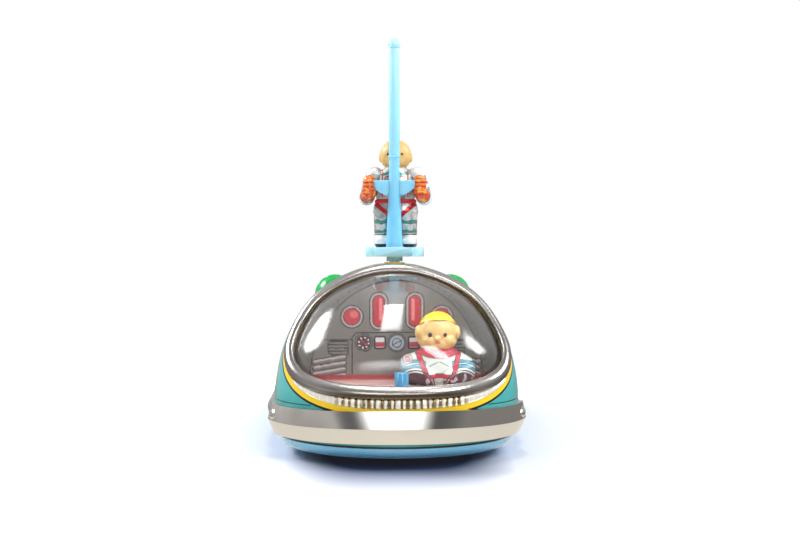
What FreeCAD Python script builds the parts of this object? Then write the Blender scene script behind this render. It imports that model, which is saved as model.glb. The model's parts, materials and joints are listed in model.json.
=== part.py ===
"""Tin battery toy: a space boat with a bubble cockpit and a turning figure on its roof.

Millimetres, +Z up, the nose toward -Y, the ground at Z = 0 and the middle of the length at Y = 0.
Depths are measured back from the nose.  The figure and the drive carriage are modelled about
their own swivel axis and then set in place.
"""
import FreeCAD, Part
import math
import os
import re

import Sketcher
from FreeCAD import Placement, Rotation, Vector

DIMENSIONS = (
    # name, value, what it is
    ("nose_y", -160, "front of the bumper"),
    ("tin", 0.8, "pressed tin sheet of the hull"),
    ("sheet", 1.0, "heavier sheet of pan, bridge and brackets"),
    ("seat_gap", 0.3, "gap left where a curved piece rests on another"),
    ("running_gap", 0.05, "radial gap of a shaft in its hole"),
    ("stern_bluntness", 2.4, "power of the hull's plan behind its widest place"),
    ("transom_depth", 312, "where the stern is cut off flat"),
    # cockpit opening and bubble
    ("rim_radius", 107.9, "radius of the saddle cut that opens the cockpit"),
    ("rim_axis_depth", -31.4, "axis of that cut, before the nose"),
    ("rim_axis_height", 138.8, "height of that axis"),
    ("bezel_width", 8.0, "chrome band across its face"),
    ("bezel_rise", 1.4, "crown of the band over the hull"),
    ("bezel_drop", 2.4, "inner edge of the band below the hull's line"),
    ("bezel_heel", 0.5, "gap between the band and the cut edge"),
    ("bubble_shrink", 0.048, "how far the bubble lies inside the hull's line, as a share"),
    ("bubble_wall", 0.016, "wall of the bubble, as a share"),
    ("bubble_depth", 80, "middle of the bubble, behind the nose"),
    ("bubble_height", 55, "middle of the bubble, above ground"),
    ("bubble_inlet", 1.0, "bubble's rim inside the cut edge"),
    # cockpit
    ("floor_top", 42, "cockpit floor"),
    ("wall_depth", 75, "instrument wall behind the nose"),
    ("floor_share", 0.1, "floor's front edge inside the hull's line, as a share"),
    ("floor_flange", 60, "width of the floor's turned-down rear edge"),
    ("pilot_x", 23.5, "pilot's middle"),
    ("pilot_depth", 45, "pilot's middle behind the nose"),
    ("pilot_head", 10.8, "pilot's head radius"),
    ("pilot_head_height", 73.8, "middle of the pilot's head"),
    ("pilot_cap", 11.6, "pilot's cap, outside radius"),
    ("pilot_cap_rise", 4.2, "rim of the cap above the middle of the head"),
    ("pilot_ear", 4.4, "ear disc radius"),
    ("pilot_ear_thick", 2.2, "ear disc"),
    ("pilot_elbow_x", 15.5, "elbow from the pilot's middle"),
    ("pilot_elbow_height", 49, "elbow"),
    ("pilot_hand_x", 7.0, "hand from the pilot's middle"),
    ("pilot_hand_fore", 14, "hand before the pilot's middle"),
    ("pilot_hand_height", 47.5, "hand"),
    ("pilot_elbow_radius", 6.2, "forearm at the elbow"),
    ("pilot_hand_radius", 5.0, "forearm at the hand"),
    ("console_x", 1.0, "clear blue console, middle"),
    ("console_depth", 21, "clear blue console behind the nose"),
    ("console_radius", 4.0, "console radius"),
    ("console_tall", 9.0, "console height"),
    # pan
    ("pan_bottom", 4.6, "underside of the pan"),
    ("pan_bend", 6.2, "height of the pan's turned edge"),
    ("pan_bend_in", 2.2, "turned edge inside the rim"),
    ("pan_bottom_in", 6.0, "flat bottom inside the rim"),
    # bumper
    ("bumper_bottom", 13.3, "lower edge"),
    ("bumper_ridge", 21.9, "crease"),
    ("bumper_top", 31.6, "upper edge"),
    ("bumper_bottom_bluntness", 2.15, "power of the lower edge's oval"),
    ("bumper_ridge_bluntness", 2.3, "power of the crease's oval"),
    ("bumper_top_bluntness", 2.5, "power of the upper edge's oval"),
    ("bumper_ridge_half", 78.0, "half width of the crease's oval"),
    ("bumper_ridge_front", 64, "front length of the crease's oval"),
    ("bumper_top_half", 75.6, "half width at the upper edge"),
    ("bumper_top_front", 62.4, "front length at the upper edge"),
    ("bumper_bottom_half", 74.5, "half width at the lower edge"),
    ("bumper_bottom_front", 62.6, "front length at the lower edge"),
    ("bumper_end", 46, "depth at which its arms end"),
    ("bullet_radius", 4.6, "bullet on each arm"),
    ("bullet_x", 70.6, "bullet's middle"),
    ("bullet_height", 25.4, "bullet's middle"),
    ("bullet_tip", 33, "depth of the bullet's tip"),
    ("bullet_tail", 56, "depth of the bullet's tail"),
    # pods and nozzles
    ("pod_x", 70.4, "side pod's axis"),
    ("pod_height", 23.6, "side pod's axis"),
    ("pod_radius", 8.4, "side pod"),
    ("pod_tip", 60, "depth of its tip"),
    ("pod_tail", 172, "depth of its tail"),
    ("pod_nose", 30, "length of its pointed front"),
    ("pod_flare", 1.2, "how far its tail flares"),
    ("nozzle_x", 15, "exhaust nozzle's axis"),
    ("nozzle_height", 27, "exhaust nozzle's axis"),
    ("nozzle_root", 8.0, "nozzle radius at the stern"),
    ("nozzle_mouth", 10.5, "nozzle radius at its mouth"),
    ("nozzle_long", 7.0, "nozzle length"),
    ("nozzle_wall", 1.2, "nozzle wall"),
    ("nozzle_flange", 1.2, "flange round the nozzle's root"),
    ("flange_thick", 1.0, "flange round the nozzle's root"),
    ("flange_round", 0.6, "slope from the flange to the nozzle"),
    # lamps
    ("lamp_x", 37.1, "lamp's middle"),
    ("lamp_depth", 108, "lamp's middle behind the nose"),
    ("lamp_height", 92.3, "lamp's middle"),
    ("lamp_lean", 38, "lean of the lamp out from upright, degrees"),
    ("lens_radius", 13, "green dome"),
    ("lens_wall", 1.2, "dome wall"),
    ("lamp_cup", 8.0, "bulb cup outside radius"),
    ("cup_wall", 1.0, "bulb cup wall"),
    ("cup_depth", 9.0, "bulb cup bottom below the dome's middle"),
    ("bulb_radius", 3.2, "bulb glass"),
    ("bulb_base", 2.4, "bulb cap radius"),
    # carriage and drive
    ("swivel_depth", 84, "swivel axis behind the nose"),
    ("shaft_radius", 3.0, "swivel shaft"),
    ("shaft_top", 121, "top of the swivel shaft"),
    ("turntable_radius", 33, "carriage disc"),
    ("turntable_bottom", 35, "underside of the carriage disc"),
    ("turntable_thick", 1.2, "carriage disc"),
    ("washer_radius", 8, "thrust washer"),
    ("washer_thick", 1.6, "thrust washer"),
    ("well_radius", 35.5, "round opening in the pan"),
    ("cheek_x", 19, "inside of each carriage cheek"),
    ("cheek_half", 13, "half length of a cheek"),
    ("cheek_bottom", 8.5, "lower edge of a cheek"),
    ("wheel_radius", 14, "drive tyre"),
    ("wheel_in", 22, "inner face of a drive wheel"),
    ("wheel_wide", 7, "drive wheel width"),
    ("tyre_thick", 3.2, "rubber on a drive wheel"),
    ("axle_radius", 1.5, "drive axle"),
    ("tooth_size", 0.6, "pitch diameter of a gear for each of its teeth"),
    ("axle_teeth", 28, "gear on the axle"),
    ("wheel_teeth", 28, "large gear of the cluster"),
    ("pinion_teeth", 12, "small gear of the cluster and motor pinion"),
    ("gear_face", 3.0, "gear width"),
    ("gear_play", 0.16, "backlash at the pitch circle"),
    ("gear_row_a", 8.0, "inner face of pinion and large gear"),
    ("gear_row_b", 13.0, "inner face of small gear and axle gear"),
    ("cluster_y", 6.0, "cluster shaft behind the axle"),
    ("cluster_pin", 1.2, "cluster shaft radius"),
    ("motor_y", -5.9, "motor shaft before the axle"),
    ("motor_radius", 8.4, "motor can"),
    ("motor_long", 23, "motor can"),
    ("motor_front", 6.0, "motor's gear end"),
    ("motor_pin", 1.0, "motor shaft radius"),
    ("motor_seat", 4, "motor shaft inside the can"),
    ("motor_nose", 2.6, "bearing on the motor's gear end"),
    ("nose_long", 1.2, "bearing on the motor's gear end"),
    ("strap_half", 5, "strap behind the motor, half"),
    ("slip_radius", 14, "slip ring's outer radius"),
    ("slip_wide", 4.0, "slip ring's width"),
    ("slip_thick", 0.6, "slip ring's thickness"),
    # bridge
    ("bridge_half", 43, "inside of the bridge's legs"),
    ("bridge_long", 44, "bridge along the hull"),
    ("bridge_foot", 8, "foot of each leg"),
    # roof collar and figure
    ("collar_radius", 6.4, "roof collar flange"),
    ("collar_rise", 0.9, "roof collar flange thickness"),
    ("collar_neck", 4.6, "roof collar in its hole"),
    ("collar_deep", 5.0, "roof collar below the roof"),
    ("figure_turn", -6, "figure turned about the swivel axis, degrees"),
    ("post_radius", 5.0, "post under the platform"),
    ("post_bottom", 113.8, "lower end of the post"),
    ("plate_top", 122.5, "platform's top"),
    ("plate_thick", 5.8, "platform"),
    ("plate_wide", 35.6, "platform"),
    ("plate_front", 9.0, "platform before the axis"),
    ("plate_corner", 6.5, "rounding of its corners"),
    ("plate_back", 18.5, "platform behind the axis"),
    ("mast_foot", 5.2, "mast radius at the platform"),
    ("mast_mid", 3.4, "mast radius above the handle"),
    ("mast_tip", 3.2, "mast radius under the ball"),
    ("mast_mid_height", 160, "where the mast turns slim"),
    ("mast_step_height", 178, "ring on the mast"),
    ("mast_top", 252, "top of the ball"),
    ("ball_radius", 3.9, "ball on the mast"),
    ("mast_v", -2.5, "mast before the axis"),
    ("handle_wide", 25.6, "wing handle"),
    ("handle_top", 164, "wing handle's upper edge"),
    ("handle_bottom", 154, "wing handle's lowest place"),
    ("handle_curve", 17, "wing handle's lower edge, radius"),
    ("handle_thick", 3.0, "wing handle"),
    ("crew_v", 11.5, "figure's middle behind the axis"),
    ("hip_x", 7.4, "hip joint"),
    ("ankle_x", 8.7, "ankle"),
    ("hip_height", 147, "hip joint"),
    ("ankle_rise", 5.5, "ankle over the platform"),
    ("hip_radius", 6.6, "leg at the hip"),
    ("ankle_radius", 4.7, "leg at the boot"),
    ("boot_heel", 2.2, "middle of the boot's heel behind the figure's middle"),
    ("boot_toe", 5.8, "middle of the boot's toe before it"),
    ("boot_heel_radius", 5.0, "boot at the heel"),
    ("boot_toe_radius", 4.4, "boot at the toe"),
    ("boot_rise", 3.4, "boot's middle above the platform"),
    ("crew_head", 10.0, "head radius"),
    ("crew_head_height", 180.6, "head's middle"),
    ("crew_cheek", 3.2, "ear pad radius"),
    ("shoulder_x", 13.0, "shoulder joint"),
    ("shoulder_height", 167.6, "shoulder joint"),
    ("shoulder_radius", 5.8, "sleeve at the shoulder"),
    ("elbow_x", 18.2, "elbow"),
    ("elbow_height", 154, "elbow"),
    ("elbow_radius", 4.9, "sleeve at the elbow"),
    ("hand_x", 15.6, "glove"),
    ("hand_height", 157.5, "glove"),
    ("hand_radius", 4.3, "glove"),
    ("hand_tall", 6.0, "glove, between its round ends"),
    # batteries
    ("cell_radius", 16.2, "battery"),
    ("cell_long", 59, "battery without its button"),
    ("cell_button", 4.0, "battery button radius"),
    ("cell_button_long", 1.5, "battery button"),
    ("bay_back", 14, "battery box, from its rear to the switch at rest"),
    ("bay_long", 68, "battery box outside"),
    ("bay_half", 35.6, "battery box outside, half"),
    ("bay_top", 41, "battery box"),
    ("bay_wall", 1.2, "battery box"),
    ("door_margin", 2.0, "door opening inside the battery box"),
    ("door_gap", 0.4, "gap round the door"),
    ("hinge_radius", 1.7, "door knuckle"),
    ("hinge_pin", 0.8, "door hinge pin"),
    ("hinge_half", 14, "door knuckle, half"),
    ("lip_half", 8, "finger lip under the door, half"),
    ("lip_long", 3, "finger lip"),
    ("lip_drop", 1.2, "finger lip below the door"),
    ("contact_thick", 0.6, "contact plate"),
    ("contact_half", 7, "contact plate, half its height"),
    ("contact_inset", 2, "contact plate from the box's side"),
    ("spring_coil", 5.0, "contact spring"),
    ("spring_wire", 0.7, "contact spring wire"),
    # rear wheels and switch
    ("rear_back", 50, "rear axle before the stern's plate"),
    ("rear_radius", 12, "rear wheel"),
    ("rear_x", 34, "rear wheel's inner face"),
    ("rear_wide", 8, "rear wheel"),
    ("rear_tyre", 2.4, "rubber on a rear wheel"),
    ("rear_slot_gap", 1.6, "gap round a wheel in its slot"),
    ("bracket_x", 26, "inside of the rear bracket's ears"),
    ("bracket_half", 6, "half length of the rear bracket"),
    ("bracket_over", 4, "bracket's ears above the axle"),
    ("switch_back", 28, "switch at rest before the rear axle"),
    ("switch_travel", 6, "switch travel"),
    ("knob_side", 4.4, "switch knob"),
    ("knob_bottom", 2.4, "lower end of the switch knob"),
    ("slider_wide", 9, "switch slider"),
    ("slider_thick", 1.4, "switch slider"),
    ("slider_play", 1, "room before and behind the slider"),
    ("case_wall", 2, "switch housing's end walls"),
    ("case_tall", 7.4, "switch housing"),
    ("screw_fore_x", 38, "front case screws, from the middle"),
    ("screw_fore_depth", 30, "front case screws"),
    ("screw_aft_x", 44, "rear case screws, from the middle"),
    ("screw_aft_depth", 232, "rear case screws"),
    ("screw_head", 2.6, "case screw head"),
    ("screw_slot", 0.6, "driver slot in the head, wide and deep"),
    ("screw_shank", 1.3, "case screw"),
    ("screw_long", 9, "case screw"),
    ("screw_boss", 3.4, "boss that a case screw enters"),
)

# station: height, half width, middle behind the nose, length before it, end past the stern's cut, bluntness
HULL_STATIONS = (
    ("keel", 10.8, 70.0, 64, 62.0, 14, 2.0),
    ("sill", 23.0, 72.3, 64.5, 61.5, 20.5, 2.2),
    ("beam", 36.0, 73.0, 65, 60.5, 23, 2.5),
    ("waist", 53.0, 70.6, 66, 60.5, 12, 2.6),
    ("flank", 68.0, 66.2, 67.7, 57.7, -26.3, 2.4),
    ("haunch", 82.0, 58.8, 71.5, 51.0, -62.5, 2.2),
    ("throat", 94.0, 48.8, 75.6, 42.6, -102.4, 2.1),
    ("brow", 103.2, 36.0, 79.6, 30.4, -140.4, 2.0),
    ("crown", 108.1, 25.2, 81.8, 21.8, -167.2, 2.0),
    ("crest", 110.8, 17.0, 83.0, 14.0, -187, 2.0),
    ("cap", 112.3, 9.0, 84, 7.7, -205, 2.0),
)
# rings of the two figures: height, half width, half depth, set forward
PILOT_RINGS = (
    ("lap", 42.0, 19.0, 11.0, 0.0),
    ("ribs", 48.0, 20.4, 12.0, 0.0),
    ("blade", 54.0, 18.6, 11.0, 0.0),
    ("yoke", 59.0, 13.6, 9.0, 0.0),
    ("gorget", 62.5, 8.4, 7.6, 0.0),
    ("nape", 65.0, 6.8, 6.8, 0.0),
)
CREW_RINGS = (
    ("seat", 142.5, 10.4, 6.4, 0.0),
    ("pelvis", 147.0, 13.4, 7.8, 0.0),
    ("belt", 151.5, 12.2, 7.4, 0.3),
    ("lungs", 158.0, 12.6, 8.4, 0.9),
    ("armpit", 164.0, 12.8, 8.2, 0.6),
    ("yokeline", 169.5, 11.4, 7.0, 0.2),
    ("scarf", 172.0, 8.0, 6.6, 0.0),
    ("gullet", 174.0, 6.2, 6.0, 0.0),
)
RING_FIELDS = ("level", "wide", "deep", "forward")
RING_POINTS = 16
STATION_FIELDS = ("height", "half", "middle", "fore", "overrun", "bluntness")
PLAN_POINTS = 32
BEZEL_STATIONS = 15
BEHIND = 400.0

doc = FreeCAD.newDocument("SpaceBoat")
sheet = doc.addObject("Spreadsheet::Sheet", "Dims")
nodes = {}


def fill_sheet():
    """Write every driving dimension as a named cell."""
    rows = list(DIMENSIONS)
    for station in HULL_STATIONS:
        for field, value in zip(STATION_FIELDS, station[1:]):
            rows.append((f"{station[0]}_{field}", value, f"hull at the {station[0]}: {field}"))
    for ring in PILOT_RINGS + CREW_RINGS:
        for field, value in zip(RING_FIELDS, ring[1:]):
            rows.append((f"{ring[0]}_{field}", value, f"figure at the {ring[0]}: {field}"))
    for line, (name, value, note) in enumerate(rows, start=1):
        sheet.set(f"A{line}", note)
        sheet.set(f"B{line}", str(value))
        sheet.setAlias(f"B{line}", name)
    doc.recompute()
    return {row[0] for row in rows}


NAMES = fill_sheet()


def size(name):
    """Read one named cell."""
    return float(getattr(sheet, name))


def linked(text):
    """Turn plain words in an expression into references to the sheet's cells."""
    return re.sub(r"[a-z][a-z_]+", lambda word: "Dims." + word[0] if word[0] in NAMES else word[0], str(text))


def bind(thing, field, text):
    thing.setExpression(field, linked(text))


def place(thing, at=("0", "0", "0"), turn=None):
    """Bind a position to the sheet; turn is an axis and an angle in degrees or an expression."""
    if turn:
        thing.Placement = Placement(Vector(), Rotation(Vector(*turn[0]), 1))
        bind(thing, "Placement.Rotation.Angle", turn[1])
    for letter, text in zip("xyz", at):
        bind(thing, f"Placement.Base.{letter}", text)
    return thing


def primitive(kind, name, sizes, at=("0", "0", "0"), turn=None):
    thing = doc.addObject("Part::" + kind, name)
    for field, text in sizes.items():
        bind(thing, field, text)
    return place(thing, at, turn)


ALONG = {"x": ((0, 1, 0), "90"), "y": ((1, 0, 0), "-90"), "z": None}


def rod(name, radius, length, at, along="z"):
    """Cylinder from a point, along an axis."""
    return primitive("Cylinder", name, {"Radius": radius, "Height": length}, at, ALONG[along])


def block(name, low, extent):
    """Box from its lowest corner."""
    return primitive("Box", name, dict(zip(("Length", "Width", "Height"), extent)), low)


def ball(name, radii, at, turn=None):
    """Ellipsoid with its half sizes along X, Y and Z."""
    thing = doc.addObject("Part::Ellipsoid", name)
    for field, text in zip(("Radius2", "Radius3", "Radius1"), radii):
        bind(thing, field, text)
    return place(thing, at, turn)


def grouped(name, *parts):
    """Several solids, or one that needs a place of its own, kept as they are."""
    thing = doc.addObject("Part::Compound", name)
    thing.Links = list(parts)
    return thing


def fused(name, *parts):
    thing = doc.addObject("Part::MultiFuse", name)
    thing.Shapes = list(parts)
    return thing


def cut(name, base, *tools):
    thing = doc.addObject("Part::Cut", name)
    thing.Base = base
    thing.Tool = tools[0] if len(tools) == 1 else fused(name + "_tools", *tools)
    return thing


def common(name, first, second):
    thing = doc.addObject("Part::Common", name)
    thing.Base = first
    thing.Tool = second
    return thing


def solid_of(name, shape):
    """Keep a shape made with Part's functions as an object of the document."""
    thing = doc.addObject("Part::Feature", name)
    thing.Shape = Part.makeCompound(shape.Solids)
    return thing


def node(name, thing):
    thing.Label = name
    nodes[name] = thing
    return thing


def turned(name, outline):
    """Body of revolution about its own Z axis; the outline lists (radius, height) expressions."""
    body = doc.addObject("PartDesign::Body", name)
    sketch = body.newObject("Sketcher::SketchObject", name + "_outline")
    plane = [item for item in body.Origin.OriginFeatures if item.Role == "XZ_Plane"][0]
    sketch.AttachmentSupport = (plane, "")
    sketch.MapMode = "FlatFace"
    count = len(outline)
    for index in range(count):
        start = Vector(index + 1, index * index % 7, 0)
        end_index = (index + 1) % count
        end = Vector(end_index + 1, end_index * end_index % 7, 0)
        sketch.addGeometry(Part.LineSegment(start, end))
    for index in range(count):
        sketch.addConstraint(Sketcher.Constraint("Coincident", index, 2, (index + 1) % count, 1))
    for index, (radius, height) in enumerate(outline):
        across = sketch.addConstraint(Sketcher.Constraint("DistanceX", -1, 1, index, 1, index + 1.0))
        bind(sketch, f"Constraints[{across}]", radius)
        upward = sketch.addConstraint(Sketcher.Constraint("DistanceY", -1, 1, index, 1, index + 1.0))
        bind(sketch, f"Constraints[{upward}]", height)
    spin = body.newObject("PartDesign::Revolution", name + "_turn")
    spin.Profile = sketch
    spin.ReferenceAxis = (sketch, ["V_Axis"])
    spin.Angle = 360
    return body


# ---------------------------------------------------------------- hull lines

def plan_points(height, half, middle, fore, aft, bluntness):
    """Points of the hull's plan at one height: blunt oval before the middle, long oval behind."""
    stern_power = 2 / size("stern_bluntness")
    points = []
    for step in range(PLAN_POINTS):
        angle = math.pi / 2 + 2 * math.pi * step / PLAN_POINTS
        across, along = math.cos(angle), math.sin(angle)
        power = stern_power if along > -1e-9 else 2 / bluntness
        reach = aft if along > -1e-9 else fore
        x = half * math.copysign(abs(across) ** power, across)
        y = size("nose_y") + middle + reach * math.copysign(abs(along) ** power, along)
        points.append(Vector(x, y, height))
    return points


def plan_knots():
    """Shared spacing of the plan points, so that every level of the hull divides alike."""
    model = [row for row, station in zip(station_rows(), HULL_STATIONS) if station[0] == "throat"][0]
    points = plan_points(*model)
    knots = [0.0]
    for one, two in zip(points, points[1:] + points[:1]):
        knots.append(knots[-1] + (two - one).Length)
    return knots


def plan_curve(*row):
    """Closed smooth line through the plan points."""
    curve = Part.BSplineCurve()
    curve.interpolate(Points=plan_points(*row), PeriodicFlag=True, Parameters=plan_knots())
    return Part.Wire(curve.toShape())


def station_rows():
    """Hull lines with their length behind the middle in place of the overrun."""
    rows = [[size(f"{station[0]}_{field}") for field in STATION_FIELDS] for station in HULL_STATIONS]
    for row in rows:
        row[4] += size("transom_depth") - row[2]
    return rows


def inset_rows(inset):
    """Hull lines moved inward by the inset, square to the skin."""
    rows = station_rows()
    moved = []
    for index, row in enumerate(rows):
        before = rows[max(index - 1, 0)]
        after = rows[min(index + 1, len(rows) - 1)]
        rise = after[0] - before[0]
        height, half, middle, fore, aft, bluntness = row

        def drawn_in(reach_before, reach, reach_after):
            return reach - inset * math.hypot(1, (reach_after - reach_before) / rise)

        new_half = drawn_in(before[1], half, after[1])
        new_fore = drawn_in(before[3] - before[2], fore - middle, after[3] - after[2]) + middle
        new_aft = drawn_in(before[4] + before[2], aft + middle, after[4] + after[2]) - middle
        if index == len(rows) - 1:
            height -= inset
            new_half, new_fore, new_aft = half, fore, aft
        moved.append([height, new_half, middle, new_fore, new_aft, bluntness])
    return moved


def hull_solid(inset=0.0):
    rows = inset_rows(inset) if inset else station_rows()
    return Part.makeLoft([plan_curve(*row) for row in rows], True, False)


def at_depth(depth):
    return size("nose_y") + depth


def slab(x_from, x_to, y_from, y_to, z_from, z_to):
    corner = Vector(x_from, y_from, z_from)
    return Part.makeBox(x_to - x_from, y_to - y_from, z_to - z_from, corner)


def saddle(radius):
    """Round cutter across the hull whose surface opens the cockpit."""
    axis_point = Vector(-BEHIND / 2, at_depth(size("rim_axis_depth")), size("rim_axis_height"))
    return Part.makeCylinder(radius, BEHIND, axis_point, Vector(1, 0, 0))


def shrunk(shape, share):
    """Copy of the hull's form, drawn in toward the middle of the bubble."""
    centre = Vector(0, at_depth(size("bubble_depth")), size("bubble_height"))
    squeeze = FreeCAD.Matrix()
    squeeze.move(-centre)
    squeeze.scale(1 - share, 1 - share, 1 - share)
    squeeze.move(centre)
    return shape.transformGeometry(squeeze)


outer = hull_solid()
inner = hull_solid(size("tin"))
inside = hull_solid(size("tin") + size("seat_gap"))
transom_y = at_depth(size("transom_depth"))
swivel_y = at_depth(size("swivel_depth"))
rear_y = transom_y - size("rear_back")
switch_y = rear_y - size("switch_back")
bay_y = switch_y - size("bay_back") - size("bay_long")
astern = slab(-BEHIND, BEHIND, transom_y, transom_y + BEHIND, -BEHIND, BEHIND)


def lamp_frame(side):
    """Middle of a lamp and the way it points."""
    lean = math.radians(size("lamp_lean"))
    middle = Vector(side * size("lamp_x"), at_depth(size("lamp_depth")), size("lamp_height"))
    return middle, Vector(side * math.sin(lean), 0, math.cos(lean))


def make_hull_shell():
    shell = outer.cut(inner).cut(saddle(size("rim_radius"))).cut(astern)
    collar_hole = Part.makeCylinder(size("collar_neck") + size("seat_gap") / 3, BEHIND,
                                    Vector(0, swivel_y, size("floor_top")))
    shell = shell.cut(collar_hole)
    for side in (-1, 1):
        middle, way = lamp_frame(side)
        shell = shell.cut(Part.makeCylinder(size("lamp_cup"), size("lens_radius") * 2, middle, way))
    return node("hull_shell", solid_of("HullShell", shell))


def pan_rows():
    """Plan lines of the pan from its flat bottom up to its rim."""
    height, half, middle, fore, aft, bluntness = station_rows()[0]
    levels = (("pan_bottom", "pan_bottom_in"), ("pan_bend", "pan_bend_in"))
    rows = []
    for level, draw in levels:
        drawn = size(draw)
        rows.append([size(level), half - drawn, middle, fore - drawn, aft - drawn, bluntness])
    rows.append([height, half, middle, fore, aft, bluntness])
    return rows


def pan_solid():
    return Part.makeLoft([plan_curve(*row) for row in pan_rows()], True, False)


def pan_hollow():
    wall = size("sheet")
    rows = pan_rows()
    rows[0][0] += wall
    rows[1][0] += wall
    hollow_rows = [[r[0], r[1] - wall, r[2], r[3] - wall, r[4] - wall, r[5]] for r in rows]
    return Part.makeLoft([plan_curve(*row) for row in hollow_rows], True, False)


def door_edges():
    """Opening in the pan under the battery box: half width, front and back."""
    margin = size("door_margin")
    half = size("bay_half") - size("bay_wall") - margin
    return half, bay_y + size("bay_wall") + margin, bay_y + size("bay_long") - size("bay_wall") - margin


def screw_places():
    """Case screws: two at the bow, two before the rear wheels."""
    places = []
    for end in ("fore", "aft"):
        across, along = size(f"screw_{end}_x"), at_depth(size(f"screw_{end}_depth"))
        places += [(-across, along), (across, along)]
    return places


def countersink(x, y):
    """Cone through the pan's sheet that a case screw's head fills flush."""
    narrow = size("screw_shank") + size("seat_gap")
    return Part.makeCone(size("screw_head"), narrow, size("sheet"), Vector(x, y, size("pan_bottom")))


def make_pan():
    pan = pan_solid().cut(pan_hollow()).cut(astern)
    low, tall = 0, size("pan_bottom") + 4 * size("sheet")
    pan = pan.cut(Part.makeCylinder(size("well_radius"), tall, Vector(0, swivel_y, 0)))
    half, front, back = door_edges()
    pan = pan.cut(slab(-half, half, front, back, low, tall))
    knuckle = size("hinge_radius") + size("door_gap")
    reach = size("hinge_half") + size("door_gap")
    pan = pan.cut(slab(-reach, reach, front - 2 * knuckle, front + knuckle, low, tall))
    gap = size("rear_slot_gap")
    for side in (-1, 1):
        near = size("rear_x") - gap
        far = size("rear_x") + size("rear_wide") + gap
        low_x, high_x = sorted((side * near, side * far))
        reach_y = size("rear_radius") + gap
        pan = pan.cut(slab(low_x, high_x, rear_y - reach_y, rear_y + reach_y, low, tall))
    knob = size("knob_side") / 2 + size("seat_gap")
    pan = pan.cut(slab(-knob, knob, switch_y - knob, switch_y + size("switch_travel") + knob, low, tall))
    for x, y in screw_places():
        pan = pan.cut(countersink(x, y))
    return node("bottom_pan", solid_of("BottomPan", pan))


def make_transom():
    plate = slab(-BEHIND, BEHIND, transom_y, transom_y + size("sheet"), size("pan_bottom"), BEHIND)
    both = outer.fuse(pan_solid()).removeSplitter()
    plate = plate.common(both)
    return node("transom_plate", solid_of("TransomPlate", plate))


def make_bumper():
    rows = []
    keel = station_rows()[0]
    for level in ("bottom", "ridge", "top"):
        height, half, front, bluntness = (size(f"bumper_{level}{word}") for word in ("", "_half",
                                                                                     "_front", "_bluntness"))
        rows.append([height, half, keel[2], front, keel[4], bluntness])
    form = Part.makeLoft([plan_curve(*row) for row in rows], True, True)
    behind = slab(-BEHIND, BEHIND, at_depth(size("bumper_end")), BEHIND, -BEHIND, BEHIND)
    form = form.cut(outer).cut(behind)
    for side in (-1, 1):
        form = form.cut(bullet_form(side))
    return node("bumper", solid_of("Bumper", form))


def ogive(radius, tip, tail, nose, flare=0.0):
    """Bullet about the Y axis from its tip to its tail, with an optional flared tail."""
    start, end = at_depth(tip), at_depth(tail)
    shoulder = start + nose
    tip_point = Vector(0, start, 0)
    mid_point = Vector(0, start + nose * 0.4, radius * 0.72)
    side_point = Vector(0, shoulder, radius)
    flare_start = Vector(0, end - 4 * flare - radius * 0.2, radius)
    tail_point = Vector(0, end, radius + flare)
    edges = [Part.Arc(tip_point, mid_point, side_point).toShape()]
    edges.append(Part.LineSegment(side_point, flare_start).toShape())
    edges.append(Part.LineSegment(flare_start, tail_point).toShape())
    edges.append(Part.LineSegment(tail_point, Vector(0, end, 0)).toShape())
    edges.append(Part.LineSegment(Vector(0, end, 0), tip_point).toShape())
    face = Part.Face(Part.Wire(edges))
    return face.revolve(Vector(), Vector(0, 1, 0), 360)


def bullet_form(side):
    form = ogive(size("bullet_radius"), size("bullet_tip"), size("bullet_tail"), size("bullet_radius") * 2)
    form.translate(Vector(side * size("bullet_x"), 0, size("bullet_height")))
    return form


def make_bullets():
    pair = [bullet_form(side).cut(outer) for side in (-1, 1)]
    node("bumper_bullets", solid_of("BumperBullets", Part.makeCompound(pair)))


def make_pods():
    for side, word in ((-1, "left"), (1, "right")):
        form = ogive(size("pod_radius"), size("pod_tip"), size("pod_tail"), size("pod_nose"),
                     size("pod_flare"))
        form.translate(Vector(side * size("pod_x"), 0, size("pod_height")))
        node("side_pod_" + word, solid_of("Pod_" + word, form.cut(outer)))


def rim_points():
    """Half of the cockpit's edge, from its lowest place at the bow to its highest at the roof."""
    cutter = saddle(size("rim_radius"))
    round_face = max(cutter.Faces, key=lambda face: face.Area)
    loops = [Part.Wire(edges) for edges in Part.sortEdges(round_face.section(outer).Edges)]
    loop = max(loops, key=lambda wire: wire.Length)
    points = [point for point in loop.discretize(Number=600) if point.y < swivel_y]
    lowest = min(range(len(points)), key=lambda index: points[index].z)
    points = points[lowest:] + points[:lowest]
    if points[len(points) // 4].x < 0:
        points.reverse()
    return [point for point in points[:len(points) // 2 + 2] if point.x > 0.05]


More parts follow.
